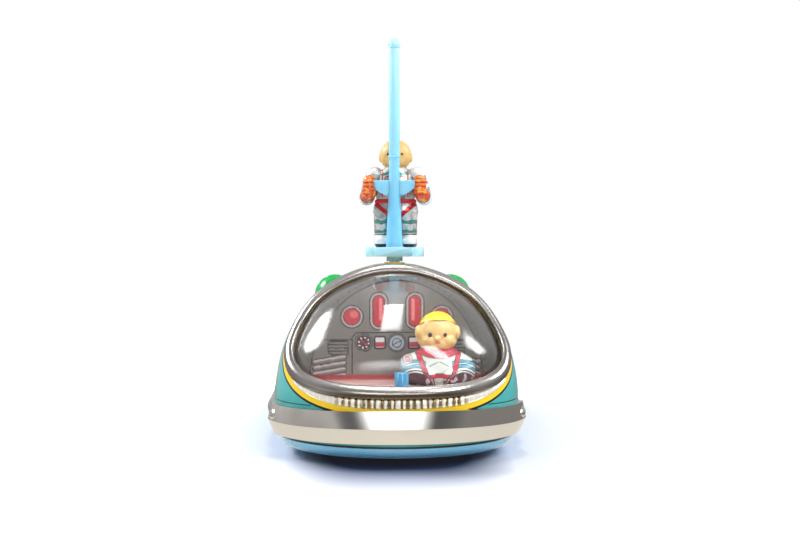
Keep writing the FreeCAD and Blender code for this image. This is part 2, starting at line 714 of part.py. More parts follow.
def rim_stations():
    """Evenly spaced places on the rim with the skin's normal and the way into the opening."""
    centre_y, centre_z = at_depth(size("rim_axis_depth")), size("rim_axis_height")
    points = rim_points()
    low, high = points[0], points[-1]
    points = [Vector(0, low.y, low.z)] + points + [Vector(0, high.y, high.z)]
    lengths = [0.0]
    for one, two in zip(points, points[1:]):
        lengths.append(lengths[-1] + (two - one).Length)
    curved = [face for face in outer.Faces if not isinstance(face.Surface, Part.Plane)]
    skin = max(curved, key=lambda face: face.CenterOfMass.x)
    stations = []
    for step in range(BEZEL_STATIONS):
        target = lengths[-1] * step / (BEZEL_STATIONS - 1)
        index = max(i for i, value in enumerate(lengths) if value <= target + 1e-9)
        index = min(index, len(points) - 2)
        share = (target - lengths[index]) / (lengths[index + 1] - lengths[index])
        point = points[index] + (points[index + 1] - points[index]) * share
        u, v = skin.Surface.parameter(point)
        normal = skin.normalAt(u, v)
        if step in (0, BEZEL_STATIONS - 1):
            point.x = 0
            normal.x = 0
        inward = Vector(0, centre_y - point.y, centre_z - point.z).normalize()
        along = normal.cross(inward).normalize()
        inward = along.cross(normal).normalize()
        stations.append((point, normal.normalize(), inward))
    return stations


def make_bezel():
    width, rise, drop, heel = (size("bezel_" + word) for word in ("width", "rise", "drop", "heel"))
    outline = ((heel, -size("tin")), (heel, rise * 0.25), (width * 0.42, rise), (width, 0.25 - drop),
               (width - 0.7, -drop))
    wires = []
    for point, normal, inward in rim_stations():
        corners = [point + inward * across + normal * up for across, up in outline]
        edges = [Part.LineSegment(corners[0], corners[1]).toShape()]
        edges.append(Part.Arc(corners[1], corners[2], corners[3]).toShape())
        edges.append(Part.LineSegment(corners[3], corners[4]).toShape())
        edges.append(Part.LineSegment(corners[4], corners[0]).toShape())
        wires.append(Part.Wire(edges))
    half = Part.makeLoft(wires, True, False)
    whole = half.fuse(half.mirror(Vector(), Vector(1, 0, 0))).removeSplitter()
    return node("canopy_bezel", solid_of("CanopyBezel", whole))


def make_canopy():
    shrink = size("bubble_shrink")
    bubble = shrunk(outer, shrink).cut(shrunk(outer, shrink + size("bubble_wall")))
    bubble = bubble.common(saddle(size("rim_radius") - size("bubble_inlet")))
    return node("canopy_bubble", solid_of("CanopyBubble", bubble))


def make_cockpit():
    top, wall_y = size("floor_top"), at_depth(size("wall_depth"))
    thick = size("sheet")
    outline = max(inside.slice(Vector(0, 1, 0), wall_y), key=lambda wire: wire.BoundBox.DiagonalLength)
    wall = Part.Face(outline).extrude(Vector(0, thick, 0))
    wall = wall.cut(slab(-BEHIND, BEHIND, -BEHIND, BEHIND, -BEHIND, top - thick))
    node("instrument_wall", solid_of("InstrumentWall", wall))
    level = slab(-BEHIND, BEHIND, size("nose_y"), wall_y, top - thick, top)
    under_deck = level.common(inside).cut(saddle(size("rim_radius") + size("seat_gap")))
    open_part = level.common(shrunk(outer, size("floor_share")))
    half = size("floor_flange") / 2
    bridge_top = size("turntable_bottom") + size("turntable_thick") + size("washer_thick") + thick
    flange = slab(-half, half, wall_y - thick, wall_y, bridge_top, top - thick)
    floor = under_deck.fuse(open_part).fuse(flange).removeSplitter()
    node("cockpit_floor", solid_of("CockpitFloor", floor))


def make_lamps():
    cups = []
    for side, word in ((-1, "left"), (1, "right")):
        middle, way = lamp_frame(side)
        radius = size("lens_radius")
        dome = Part.makeSphere(radius, middle).cut(Part.makeSphere(radius - size("lens_wall"),
                                                                   middle)).cut(outer)
        node("lamp_lens_" + word, solid_of("Lens_" + word, dome))
        cup_radius, depth = size("lamp_cup"), size("cup_depth")
        base = middle - way * depth
        cup = Part.makeCylinder(cup_radius + size("cup_wall"), 3 * depth, base, way).common(inner)
        neck = Part.makeCylinder(cup_radius - size("cup_wall"), 3 * depth, base + way * size("cup_wall"), way)
        cup = cup.cut(neck)
        stem = size("bulb_base")
        cup = cup.cut(Part.makeCylinder(stem, 3 * depth, base - way * depth, way))
        cups.append(cup)
        cap = Part.makeCylinder(stem, depth - size("bulb_radius"), base, way)
        glass = Part.makeSphere(size("bulb_radius"), base + way * (depth - size("bulb_radius")))
        node("lamp_bulb_" + word, solid_of("Bulb_" + word, cap.fuse(glass)))
    node("lamp_cups", solid_of("LampCups", Part.makeCompound(cups)))


# ---------------------------------------------------------------- pieces made of primitives

def capsule(start, end, start_radius, end_radius):
    """Tapered limb with round ends, turned about the line between its two joints."""
    way = end - start
    length = way.Length
    slope = math.asin((start_radius - end_radius) / length)
    low = Vector(start_radius * math.cos(slope), 0, start_radius * math.sin(slope))
    high = Vector(end_radius * math.cos(slope), 0, length + end_radius * math.sin(slope))
    tail, tip = Vector(0, 0, -start_radius), Vector(0, 0, length + end_radius)
    half_low, half_high = (slope - math.pi / 2) / 2, (slope + math.pi / 2) / 2
    low_mid = Vector(start_radius * math.cos(half_low), 0, start_radius * math.sin(half_low))
    high_mid = Vector(end_radius * math.cos(half_high), 0, length + end_radius * math.sin(half_high))
    edges = [Part.Arc(tail, low_mid, low).toShape(), Part.LineSegment(low, high).toShape(),
             Part.Arc(high, high_mid, tip).toShape(), Part.LineSegment(tip, tail).toShape()]
    limb = Part.Face(Part.Wire(edges)).revolve(Vector(), Vector(0, 0, 1), 360)
    limb.Placement = Placement(start, Rotation(Vector(0, 0, 1), way))
    return limb


def skull(radius, centre):
    """Round head whose seam is at the back, away from the ears."""
    head = Part.makeSphere(radius)
    head.Placement = Placement(centre, Rotation(Vector(0, 0, 1), 90))
    return head


def torso(rings, middle):
    """Body lofted through the figure's rings, about an upright line through the middle."""
    wires = []
    for ring in rings:
        level, wide, deep, forward = (size(f"{ring[0]}_{field}") for field in RING_FIELDS)
        points = []
        for step in range(RING_POINTS):
            angle = 2 * math.pi * step / RING_POINTS
            across = wide * math.copysign(abs(math.cos(angle)) ** 0.9, math.cos(angle))
            points.append(middle + Vector(across, deep * math.sin(angle) - forward, level))
        curve = Part.BSplineCurve()
        curve.interpolate(Points=points, PeriodicFlag=True)
        wires.append(Part.Wire(curve.toShape()))
    return Part.makeLoft(wires, True, False)


def make_pilot():
    """Seated pilot: body with both forearms before it, and a head with a cap and round ears."""
    middle = Vector(size("pilot_x"), at_depth(size("pilot_depth")), 0)
    body = torso(PILOT_RINGS, middle)
    for side in (-1, 1):
        elbow = middle + Vector(side * size("pilot_elbow_x"), -size("lap_deep") / 3,
                                size("pilot_elbow_height"))
        hand = middle + Vector(side * size("pilot_hand_x"), -size("pilot_hand_fore"),
                               size("pilot_hand_height"))
        body = body.fuse(capsule(elbow, hand, size("pilot_elbow_radius"), size("pilot_hand_radius")))
    centre = middle + Vector(0, 0, size("pilot_head_height"))
    radius, clear = size("pilot_head"), size("seat_gap")
    body = body.cut(Part.makeSphere(radius + clear, centre))
    node("pilot_body", solid_of("PilotBody", body))

    cap_low = size("pilot_cap_rise")
    cap = skull(size("pilot_cap"), centre)
    cap = cap.common(Part.makeCylinder(2 * radius, 2 * radius, centre + Vector(0, 0, cap_low)))
    ear_span = 2 * (radius + size("pilot_ear_thick") / 2)
    ear_start = centre - Vector(ear_span / 2, 0, 0)
    ears = Part.makeCylinder(size("pilot_ear"), ear_span, ear_start, Vector(1, 0, 0))
    head = skull(radius, centre).fuse([cap, ears]).removeSplitter()
    node("pilot_head", solid_of("PilotHead", head))
    here = ("console_x", "nose_y + console_depth", "floor_top")
    node("side_console", rod("Console", "console_radius", "console_tall", here))


def in_swivel(thing, turn="0"):
    """Set a piece that was modelled about the swivel axis in its place."""
    return place(thing, ("0", "nose_y + swivel_depth", "0"), ((0, 0, 1), turn))


def on_swivel(name, thing, turn="0"):
    return node(name, in_swivel(thing, turn))


AXLE = ("0", "wheel_radius")
BRIDGE_UNDER = "turntable_bottom + turntable_thick + washer_thick"
REAR_AXLE = "nose_y + transom_depth - rear_back"
SWITCH = f"{REAR_AXLE} - switch_back"
BAY_FRONT = f"{SWITCH} - bay_back - bay_long"


def gear_solid(teeth, face, bore, first_angle):
    """Involute spur gear about X, its first tooth at the given angle from +Y toward +Z."""
    module, pressure = size("tooth_size"), math.radians(20)
    pitch = module * teeth / 2
    base = pitch * math.cos(pressure)
    tip, root = pitch + 0.8 * module, pitch - 1.15 * module

    def spread(radius):
        turn = math.acos(min(1, base / max(radius, base)))
        flank = math.tan(pressure) - pressure - (math.tan(turn) - turn)
        return math.pi / (2 * teeth) - size("gear_play") / (2 * pitch) / 2 + flank

    flank_radii = [root] + [base + (tip - base) * part for part in (0, 0.35, 0.7,
                                                                    1)] if root < base else [root, pitch, tip]
    points = []
    for tooth in range(teeth):
        middle = first_angle + 2 * math.pi * tooth / teeth
        for radius in flank_radii:
            points.append((radius, middle - spread(radius)))
        for radius in reversed(flank_radii):
            points.append((radius, middle + spread(radius)))
    corners = [Vector(0, r * math.cos(a), r * math.sin(a)) for r, a in points]
    outline = Part.Face(Part.makePolygon(corners + corners[:1]))
    gear = outline.extrude(Vector(face, 0, 0))
    if bore:
        gear = gear.cut(Part.makeCylinder(bore, face, Vector(), Vector(1, 0, 0)))
    return gear


def drive_places():
    """Places of the cluster and motor shafts about the swivel axis, and the angles of mesh."""
    module = size("tooth_size")
    first = module * (size("axle_teeth") + size("pinion_teeth")) / 2
    second = module * (size("wheel_teeth") + size("pinion_teeth")) / 2
    axle_z = size("wheel_radius")
    cluster_z = axle_z + math.sqrt(first ** 2 - size("cluster_y") ** 2)
    gap_y = size("cluster_y") - size("motor_y")
    motor_z = cluster_z - math.sqrt(second ** 2 - gap_y ** 2)
    to_cluster = math.atan2(cluster_z - axle_z, size("cluster_y"))
    to_motor = math.atan2(motor_z - cluster_z, size("motor_y") - size("cluster_y"))
    return axle_z, cluster_z, motor_z, to_cluster, to_motor


def make_drive():
    axle_z, cluster_z, motor_z, to_cluster, to_motor = drive_places()
    teeth, small, large = (int(size(word + "_teeth")) for word in ("axle", "pinion", "wheel"))
    face, row_a, row_b = size("gear_face"), size("gear_row_a"), size("gear_row_b")
    half_pitch = math.pi / small

    axle_gear = gear_solid(teeth, face, size("axle_radius"), to_cluster)
    axle_gear.translate(Vector(row_b, 0, axle_z))
    on_swivel("axle_gear", solid_of("AxleGear", axle_gear))

    small_gear = gear_solid(small, face, 0, to_cluster + math.pi + half_pitch)
    large_gear = gear_solid(large, face, 0, to_motor)
    small_gear.translate(Vector(row_b, 0, 0))
    large_gear.translate(Vector(row_a, 0, 0))
    cheek, pin = size("cheek_x"), size("cluster_pin")
    hub = Part.makeCylinder(size("tooth_size") * small * 0.35, row_b - row_a - face,
                            Vector(row_a + face, 0, 0), Vector(1, 0, 0))
    pin_long = 2 * (cheek + size("sheet"))
    spindle = Part.makeCylinder(pin, pin_long, Vector(-pin_long / 2, 0, 0), Vector(1, 0, 0))
    cluster = small_gear.fuse([large_gear, hub, spindle]).removeSplitter()
    cluster.translate(Vector(0, size("cluster_y"), cluster_z))
    on_swivel("cluster_gear", solid_of("ClusterGear", cluster))

    pinion = gear_solid(small, face, 0, to_motor + math.pi + math.pi / small)
    pinion.translate(Vector(row_a, 0, 0))
    stub_start = size("motor_front") - size("motor_seat")
    stub = Part.makeCylinder(size("motor_pin"), row_a + face - stub_start, Vector(stub_start, 0, 0),
                             Vector(1, 0, 0))
    pinion = pinion.fuse(stub).removeSplitter()
    pinion.translate(Vector(0, size("motor_y"), motor_z))
    on_swivel("motor_pinion", solid_of("MotorPinion", pinion))

    front, long = size("motor_front"), size("motor_long")
    can = Part.makeCylinder(size("motor_radius"), long, Vector(front - long, 0, 0), Vector(1, 0, 0))
    nose = Part.makeCylinder(size("motor_nose"), size("nose_long"), Vector(front, 0, 0), Vector(1, 0, 0))
    hole = Part.makeCylinder(size("motor_pin") + size("running_gap"), long,
                             Vector(stub_start - size("seat_gap"), 0, 0), Vector(1, 0, 0))
    motor = can.fuse(nose).cut(hole)
    motor.translate(Vector(0, size("motor_y"), motor_z))
    on_swivel("drive_motor", solid_of("DriveMotor", motor))

    thick = size("sheet")
    half, low = size("cheek_half"), size("cheek_bottom")
    under = size("turntable_bottom")
    disc = Part.makeCylinder(size("turntable_radius"), size("turntable_thick"), Vector(0, 0, under))
    parts = [slab(side * cheek - (thick if side < 0 else 0), side * cheek + (thick if side > 0 else 0),
                  -half, half, low, under)
             for side in (-1, 1)]
    strap_half = size("strap_half")
    strap = slab(front - long - thick, front - long, size("motor_y") - strap_half,
                 size("motor_y") + strap_half, motor_z - strap_half, under)
    frame = disc.fuse(parts + [strap]).removeSplitter()
    for radius, y, z in ((size("axle_radius"), 0, axle_z), (pin, size("cluster_y"), cluster_z)):
        hole = Part.makeCylinder(radius + size("running_gap"), 4 * cheek, Vector(-2 * cheek, y, z),
                                 Vector(1, 0, 0))
        frame = frame.cut(hole)
    on_swivel("carriage_frame", solid_of("CarriageFrame", frame))


def make_axles():
    """Drive axle, drive wheels and tyres, rear axle and rear wheels."""
    over = "wheel_in + wheel_wide + 1"
    on_swivel("drive_axle", grouped("DriveAxle", rod("DriveAxleRod", "axle_radius", f"2 * ({over})",
                                                     (f"-({over})", "0", "wheel_radius"), "x")))
    hub = (("axle_radius", "0"), ("wheel_radius - tyre_thick", "0"),
           ("wheel_radius - tyre_thick", "wheel_wide"),
           ("wheel_radius - tyre_thick - 2", "wheel_wide"), ("wheel_radius - tyre_thick - 3",
                                                             "wheel_wide - 1.6"),
           ("axle_radius + 2.4", "wheel_wide - 1.6"), ("axle_radius + 2", "wheel_wide"), ("axle_radius",
                                                                                          "wheel_wide"))
    tyre = (("wheel_radius - tyre_thick", "0"), ("wheel_radius - 0.8", "0"), ("wheel_radius", "0.8"),
            ("wheel_radius", "wheel_wide - 0.8"), ("wheel_radius - 0.8",
                                                   "wheel_wide"), ("wheel_radius - tyre_thick", "wheel_wide"))
    for word, x, turn in (("left", "-wheel_in", "-90"), ("right", "wheel_in", "90")):
        for piece, outline in (("wheel", hub), ("tyre", tyre)):
            body = turned(f"Drive_{piece}_{word}", outline)
            place(body, (x, "nose_y + swivel_depth", "wheel_radius"), ((0, 1, 0), turn))
            node(f"drive_{piece}_{word}", body)
    rear_over = "rear_x + rear_wide + 1"
    axle = rod("RearAxle", "axle_radius", f"2 * ({rear_over})",
               (f"-({rear_over})", REAR_AXLE, "rear_radius"), "x")
    node("rear_axle", axle)
    rear_hub = (("axle_radius", "0"), ("rear_radius - rear_tyre", "0"),
                ("rear_radius - rear_tyre", "rear_wide"),
                ("rear_radius - rear_tyre - 2", "rear_wide"), ("rear_radius - rear_tyre - 3",
                                                               "rear_wide - 1.6"),
                ("axle_radius + 2.4", "rear_wide - 1.6"), ("axle_radius + 2",
                                                           "rear_wide"), ("axle_radius", "rear_wide"))
    rear_tyre = (("rear_radius - rear_tyre", "0"), ("rear_radius - 0.8", "0"), ("rear_radius", "0.8"),
                 ("rear_radius", "rear_wide - 0.8"), ("rear_radius - 0.8",
                                                      "rear_wide"), ("rear_radius - rear_tyre", "rear_wide"))
    for word, x, turn in (("left", "-rear_x", "-90"), ("right", "rear_x", "90")):
        for piece, outline in (("wheel", rear_hub), ("tyre", rear_tyre)):
            body = turned(f"Rear_{piece}_{word}", outline)
            place(body, (x, REAR_AXLE, "rear_radius"), ((0, 1, 0), turn))
            node(f"rear_{piece}_{word}", body)


def make_swivel():
    """Shaft, slip ring and washer on the carriage; bridge, brushes and roof collar on the hull."""
    disc_top = "turntable_bottom + turntable_thick"
    shaft = rod("SwivelShaftRod", "shaft_radius", f"shaft_top - ({disc_top})", ("0", "0", disc_top))
    on_swivel("swivel_shaft", grouped("SwivelShaft", shaft))
    ring = cut("SlipRing", rod("SlipOuter", "slip_radius", "slip_thick", ("0", "0", disc_top)),
               rod("SlipInner", "slip_radius - slip_wide", "slip_thick", ("0", "0", disc_top)))
    on_swivel("slip_ring", ring)
    washer = cut("ThrustWasher", rod("WasherOuter", "washer_radius", "washer_thick", ("0", "0", disc_top)),
                 rod("WasherInner", "shaft_radius + running_gap", "washer_thick", ("0", "0", disc_top)))
    on_swivel("thrust_washer", washer)

    legs_out = "bridge_half + sheet"
    deck = block("BridgeDeck", (f"-({legs_out})", "-bridge_long / 2", BRIDGE_UNDER),
                 (f"2 * ({legs_out})", "bridge_long", "sheet"))
    pieces = [deck]
    pan_floor = "pan_bottom + sheet"
    for word, leg_x, foot_x in (("Left", f"-({legs_out})", f"-({legs_out}) - bridge_foot"),
                                ("Right", "bridge_half", legs_out)):
        pieces.append(block("BridgeLeg" + word, (leg_x, "-bridge_long / 2", pan_floor),
                            ("sheet", "bridge_long", f"{BRIDGE_UNDER} - ({pan_floor})")))
        pieces.append(block("BridgeFoot" + word, (foot_x, "-bridge_long / 2", pan_floor),
                            ("bridge_foot", "bridge_long", "sheet")))
    hole = rod("BridgeHole", "shaft_radius + running_gap", "sheet", ("0", "0", BRIDGE_UNDER))
    on_swivel("carriage_bridge", cut("CarriageBridge", fused("BridgeMass", *pieces), hole))

    brush_bottom = f"{disc_top} + slip_thick"
    mid = "slip_radius - slip_wide / 2"
    brushes = [rod("Brush" + word, "slip_wide * 0.4", f"{BRIDGE_UNDER} - ({brush_bottom})",
                   (x, "0", brush_bottom))
               for word, x in (("Left", f"-({mid})"), ("Right", mid))]
    on_swivel("contact_brushes", grouped("BrushPair", *brushes))

    roof = "cap_height"
    collar = fused("CollarMass", rod("CollarFlange", "collar_radius", "collar_rise", ("0", "0", roof)),
                   rod("CollarNeck", "collar_neck", "collar_deep", ("0", "0", f"{roof} - collar_deep")))
    bore = rod("CollarBore", "shaft_radius + running_gap", "3 * collar_deep",
               ("0", "0", f"{roof} - 2 * collar_deep"))
    on_swivel("roof_collar", cut("RoofCollar", collar, bore))


def make_mast():
    """Light blue platform on its post, tall mast with a ball, and the wing handle."""
    half = "plate_wide / 2"
    under = "plate_top - plate_thick"
    plate = block("PlateBlock", (f"-({half})", "-plate_front", under),
                  ("plate_wide", "plate_front + plate_back", "plate_thick"))
    soft = doc.addObject("Part::Fillet", "PlateSoft")
    doc.recompute()
    soft.Base = plate
    upright = [index for index, edge in enumerate(plate.Shape.Edges, start=1)
               if abs(edge.Vertexes[0].Z - edge.Vertexes[-1].Z) > 1]
    corner = size("plate_corner")
    soft.Edges = [(index, corner, corner) for index in upright]
    post = rod("PostRod", "post_radius", f"{under} - post_bottom", ("0", "0", "post_bottom"))
    socket = rod("PostSocket", "shaft_radius", "shaft_top - post_bottom", ("0", "0", "post_bottom"))
    on_swivel("figure_platform", cut("Platform", fused("PlatformMass", soft, post), socket), "figure_turn")

    foot = primitive("Cone", "MastFoot", {"Radius1": "mast_foot", "Radius2": "mast_mid",
                                          "Height": "mast_mid_height - plate_top"},
                     ("0", "mast_v", "plate_top"))
    neck = "mast_top - 2 * ball_radius"
    rise = primitive("Cone", "MastRise", {"Radius1": "mast_mid", "Radius2": "mast_tip",
                                          "Height": f"{neck} - mast_mid_height + 1"},
                     ("0", "mast_v", "mast_mid_height"))
    ring = rod("MastRing", "mast_mid + 0.45", "1.2", ("0", "mast_v", "mast_step_height"))
    tip = ball("MastBall", ("ball_radius",) * 3, ("0", "mast_v", "mast_top - ball_radius"))
    on_swivel("mast", fused("Mast", foot, rise, ring, tip), "figure_turn")

    deep = "mast_v - handle_thick / 2"
    disc = rod("WingDisc", "handle_curve", "handle_thick", ("0", deep, "handle_bottom + handle_curve"), "y")
    bar = block("WingBar", ("-handle_wide / 2", deep, "handle_bottom - 1"),
                ("handle_wide", "handle_thick", "handle_top - handle_bottom + 1"))
    wing = common("Wing", disc, bar)
    mast_room = primitive("Cone", "MastRoom", {"Radius1": "mast_foot", "Radius2": "mast_mid",
                                               "Height": "mast_mid_height - plate_top"},
                          ("0", "mast_v", "plate_top"))
    rise_room = rod("RiseRoom", "mast_mid", "30", ("0", "mast_v", "mast_mid_height"))
    grips = [solid_of("Grip_" + word, crew_arm(side, size("seat_gap") / 3)) for side,
             word in ((-1, "left"), (1, "right"))]
    on_swivel("wing_handle", cut("WingHandle", wing, mast_room, rise_room, *grips), "figure_turn")


def crew_arm(side, gap):
    """One arm about the swivel axis: sleeve, forearm to the handle, and a glove."""
    middle_v, mast_v = size("crew_v"), size("mast_v")
    shoulder = Vector(side * size("shoulder_x"), middle_v, size("shoulder_height"))
    elbow = Vector(side * size("elbow_x"), middle_v - size("elbow_radius") / 2, size("elbow_height"))
    palm = Vector(side * size("hand_x"), mast_v + size("hand_radius") / 2, size("hand_height"))
    knuckle = palm + Vector(0, 0, size("hand_tall"))
    sleeve = capsule(shoulder, elbow, size("shoulder_radius") + gap, size("elbow_radius") + gap)
    forearm = capsule(elbow, palm, size("elbow_radius") + gap, size("hand_radius") + gap)
    glove = capsule(palm, knuckle, size("hand_radius") + gap, size("hand_radius") * 0.96 + gap)
    return sleeve.fuse([forearm, glove]).removeSplitter()


def make_figure():
    """Standing figure: body with legs and boots, head, and two arms that end in gloves."""
    middle = Vector(0, size("crew_v"), 0)
    ground = size("plate_top")
    body = torso(CREW_RINGS, middle)
    for side in (-1, 1):
        hip = middle + Vector(side * size("hip_x"), 0, size("hip_height"))
        ankle = middle + Vector(side * size("ankle_x"), 0, ground + size("ankle_rise"))
        boot_z = ground + size("boot_rise")
        heel = Vector(ankle.x, middle.y + size("boot_heel"), boot_z)
        toe = Vector(ankle.x, middle.y - size("boot_toe"), boot_z)
        leg = capsule(hip, ankle, size("hip_radius"), size("ankle_radius"))
        boot = capsule(heel, toe, size("boot_heel_radius"), size("boot_toe_radius"))
        body = body.fuse([leg, boot])
    head_middle = middle + Vector(0, 0, size("crew_head_height"))
    radius, clear = size("crew_head"), size("seat_gap")
    body = body.cut(slab(-BEHIND, BEHIND, -BEHIND, BEHIND, 0, ground))
    body = body.cut(Part.makeSphere(radius + clear, head_middle))
    for side, word in ((-1, "left"), (1, "right")):
        body = body.cut(crew_arm(side, clear / 3))
        on_swivel("figure_arm_" + word, solid_of("FigureArm_" + word, crew_arm(side, 0)), "figure_turn")
    on_swivel("figure_body", solid_of("FigureBody", body), "figure_turn")
    pad_span = 2 * (radius + size("crew_cheek") / 4)
    pads = Part.makeCylinder(size("crew_cheek"), pad_span, head_middle - Vector(pad_span / 2, 0, 0),
                             Vector(1, 0, 0))
    head = skull(radius, head_middle).fuse(pads).removeSplitter()
    on_swivel("figure_head", solid_of("FigureHead", head), "figure_turn")


def make_power():
    """Battery box, cells, contacts, hinged door and its pin."""
    floor = "pan_bottom + sheet"
    start, long = BAY_FRONT, "bay_long"
    shell = block("BayShell", ("-bay_half", start, floor), ("2 * bay_half", long, f"bay_top - ({floor})"))
    room = block("BayRoom", ("-bay_half + bay_wall", f"{start} + bay_wall", floor),
                 ("2 * (bay_half - bay_wall)", f"{long} - 2 * bay_wall", f"bay_top - bay_wall - ({floor})"))
    notch = block("BayNotch", ("-hinge_half - door_gap", f"{start} - bay_wall", floor),
                  ("2 * (hinge_half + door_gap)", "3 * bay_wall", "2 * sheet"))
    node("battery_box", cut("BatteryBox", shell, room, notch))
    cell_x = "(bay_half - bay_wall) / 2"
    cell_z = f"{floor} + seat_gap + cell_radius"
    cell_y = f"{start} + bay_wall + 1 + (bay_long - 2 * bay_wall - cell_long - cell_button_long) * 0.2"
    for word, sign in (("left", "-"), ("right", "")):
        x = f"{sign}{cell_x}"
        can = rod("Cell_" + word, "cell_radius", "cell_long", (x, cell_y, cell_z), "y")
        tip = rod("CellTip_" + word, "cell_button", "cell_button_long",
                  (x, f"{cell_y} + cell_long", cell_z), "y")
        node("battery_" + word, fused("Battery_" + word, can, tip))
    back = f"{start} + bay_long - bay_wall"
    spring_from = f"{cell_y} + cell_long + cell_button_long"
    inset, tall = "bay_half - bay_wall - contact_inset", "2 * contact_half"
    low = f"{cell_z} - contact_half"
    plates = [block("ContactPlateBack", (f"-({inset})", f"{back} - contact_thick", low),
                    (f"2 * ({inset})", "contact_thick", tall)),
              block("ContactPlateFront", (f"-({inset})", f"{start} + bay_wall", low),
                    (f"2 * ({inset})", f"{cell_y} - ({start} + bay_wall)", tall))]
    coils = []
    for word, sign in (("left", "-"), ("right", "")):
        gap = f"{back} - contact_thick - ({spring_from})"
        coils.append(primitive("Cone", "Coil_" + word, {"Radius1": "cell_button",
                                                        "Radius2": "spring_coil", "Height": gap},
                               (f"{sign}{cell_x}", spring_from, cell_z), ALONG["y"]))
        room = {"Radius1": "cell_button - spring_wire", "Radius2": "spring_coil - spring_wire", "Height": gap}
        coils.append(primitive("Cone", "CoilRoom_" + word, room, (f"{sign}{cell_x}", spring_from, cell_z),
                               ALONG["y"]))
    springs = [cut("Spring_left", coils[0], coils[1]), cut("Spring_right", coils[2], coils[3])]
    node("battery_contacts", grouped("BatteryContacts", *plates, *springs))
    make_door()


def make_door():
    half, front, back = door_edges()
    gap, thick = size("door_gap"), size("sheet")
    bottom = size("pan_bottom")
    axis_y = front - size("hinge_radius")
    axis_z = bottom + thick / 2
    reach = size("hinge_half")
    along_x = Vector(1, 0, 0)
    panel = slab(-half + gap, half - gap, front + gap, back - gap, bottom, bottom + thick)
    link = slab(-reach / 2, reach / 2, axis_y, front + 2 * gap, bottom, bottom + thick)
    knuckle = Part.makeCylinder(size("hinge_radius"), reach, Vector(-reach / 2, axis_y, axis_z), along_x)
    lip_half = size("lip_half")
    lip_end = back - gap
    lip = slab(-lip_half, lip_half, lip_end - size("lip_long"), lip_end, bottom - size("lip_drop"), bottom)
    door = panel.fuse([link, knuckle, lip]).removeSplitter()
    door = door.cut(Part.makeCylinder(size("hinge_pin") + size("running_gap"), 2 * reach,
                                      Vector(-reach, axis_y, axis_z), along_x))
    node("battery_door", solid_of("BatteryDoor", door))
    pin = Part.makeCylinder(size("hinge_pin"), 2 * reach - 0.4, Vector(-reach + 0.2, axis_y, axis_z), along_x)
    ears = []
    for side in (-1, 1):
        inner_x, outer_x = sorted((side * (reach / 2 + gap), side * (reach - 0.4)))
        ears.append(slab(inner_x, outer_x, axis_y - size("hinge_radius"),
                         axis_y + size("hinge_radius") * 0.6, bottom, bottom + 3 * thick))
    node("door_hinge_pin", solid_of("DoorHingePin", pin.fuse(ears).removeSplitter()))


def make_rear_bracket():
    floor = "pan_bottom + sheet"
    y = REAR_AXLE
    base = block("BracketBase", ("-bracket_x - sheet", f"{y} - bracket_half", floor),
                 ("2 * (bracket_x + sheet)", "2 * bracket_half", "sheet"))
    tall = f"rear_radius + bracket_over - ({floor})"
    ears = [block("BracketEar" + word, (x, f"{y} - bracket_half", floor), ("sheet", "2 * bracket_half", tall))
            for word, x in (("Left", "-bracket_x - sheet"), ("Right", "bracket_x"))]
    hole = rod("BracketHole", "axle_radius + running_gap", "4 * bracket_x",
               ("-2 * bracket_x", y, "rear_radius"), "x")
    node("rear_axle_bracket", cut("RearBracket", fused("BracketMass", base, *ears), hole))


def make_switch():
    floor = "pan_bottom + sheet"
    y = SWITCH
    knob = block("SwitchKnob", ("-knob_side / 2", f"{y} - knob_side / 2", "knob_bottom"),
                 ("knob_side", "knob_side", f"{floor} + seat_gap - knob_bottom"))
    slider = block("SwitchSlider", ("-slider_wide / 2", f"{y} - slider_wide / 2", f"{floor} + seat_gap"),
                   ("slider_wide", "slider_wide", "slider_thick"))
    node("power_switch", fused("PowerSwitch", knob, slider))
    room_y = f"{y} - slider_wide / 2 - slider_play"
    room_long = "slider_wide + switch_travel + 2 * slider_play"
    room = block("SwitchRoom", ("-slider_wide / 2 - seat_gap", room_y, floor),
                 ("slider_wide + 2 * seat_gap", room_long, "slider_thick + 2 * seat_gap"))
    case_wide = "slider_wide + 2 * (seat_gap + case_wall)"
    case = block("SwitchCase", (f"-({case_wide}) / 2", f"{room_y} - case_wall", floor),
                 (case_wide, f"{room_long} + 2 * case_wall", "case_tall"))
    node("switch_housing", cut("SwitchHousing", case, room))


def make_nozzles():
    outline = (("nozzle_root - nozzle_wall", "0"), ("nozzle_root + nozzle_flange", "0"),
               ("nozzle_root + nozzle_flange", "flange_thick"), ("nozzle_root", "flange_thick + flange_round"),
               ("nozzle_mouth", "nozzle_long"), ("nozzle_mouth - nozzle_wall", "nozzle_long"))
    for word, sign in (("left", "-"), ("right", "")):
        body = turned("Nozzle_" + word, outline)
        place(body, (f"{sign}nozzle_x", "nose_y + transom_depth + sheet", "nozzle_height"),
              ((1, 0, 0), "-90"))
        node("exhaust_nozzle_" + word, body)


def make_screws():
    screws, bosses = [], []
    bottom, floor = size("pan_bottom"), size("pan_bottom") + size("sheet")
    for x, y in screw_places():
        slot_half, reach = size("screw_slot") / 2, size("screw_head")
        slot = slab(x - reach, x + reach, y - slot_half, y + slot_half, bottom, bottom + size("screw_slot"))
        head = countersink(x, y).cut(slot)
        shank = Part.makeCylinder(size("screw_shank"), size("screw_long") - slot_half * 2,
                                  Vector(x, y, bottom + slot_half * 2))
        screws.append(head.fuse(shank).removeSplitter())
        boss = Part.makeCylinder(size("screw_boss"), size("screw_long") + 2, Vector(x, y, floor))
        bosses.append(boss.cut(Part.makeCylinder(size("screw_shank"), size("screw_long"),
                                                 Vector(x, y, bottom))))
    node("case_screws", solid_of("CaseScrews", Part.makeCompound(screws)))
    node("screw_bosses", solid_of("ScrewBosses", Part.makeCompound(bosses)))


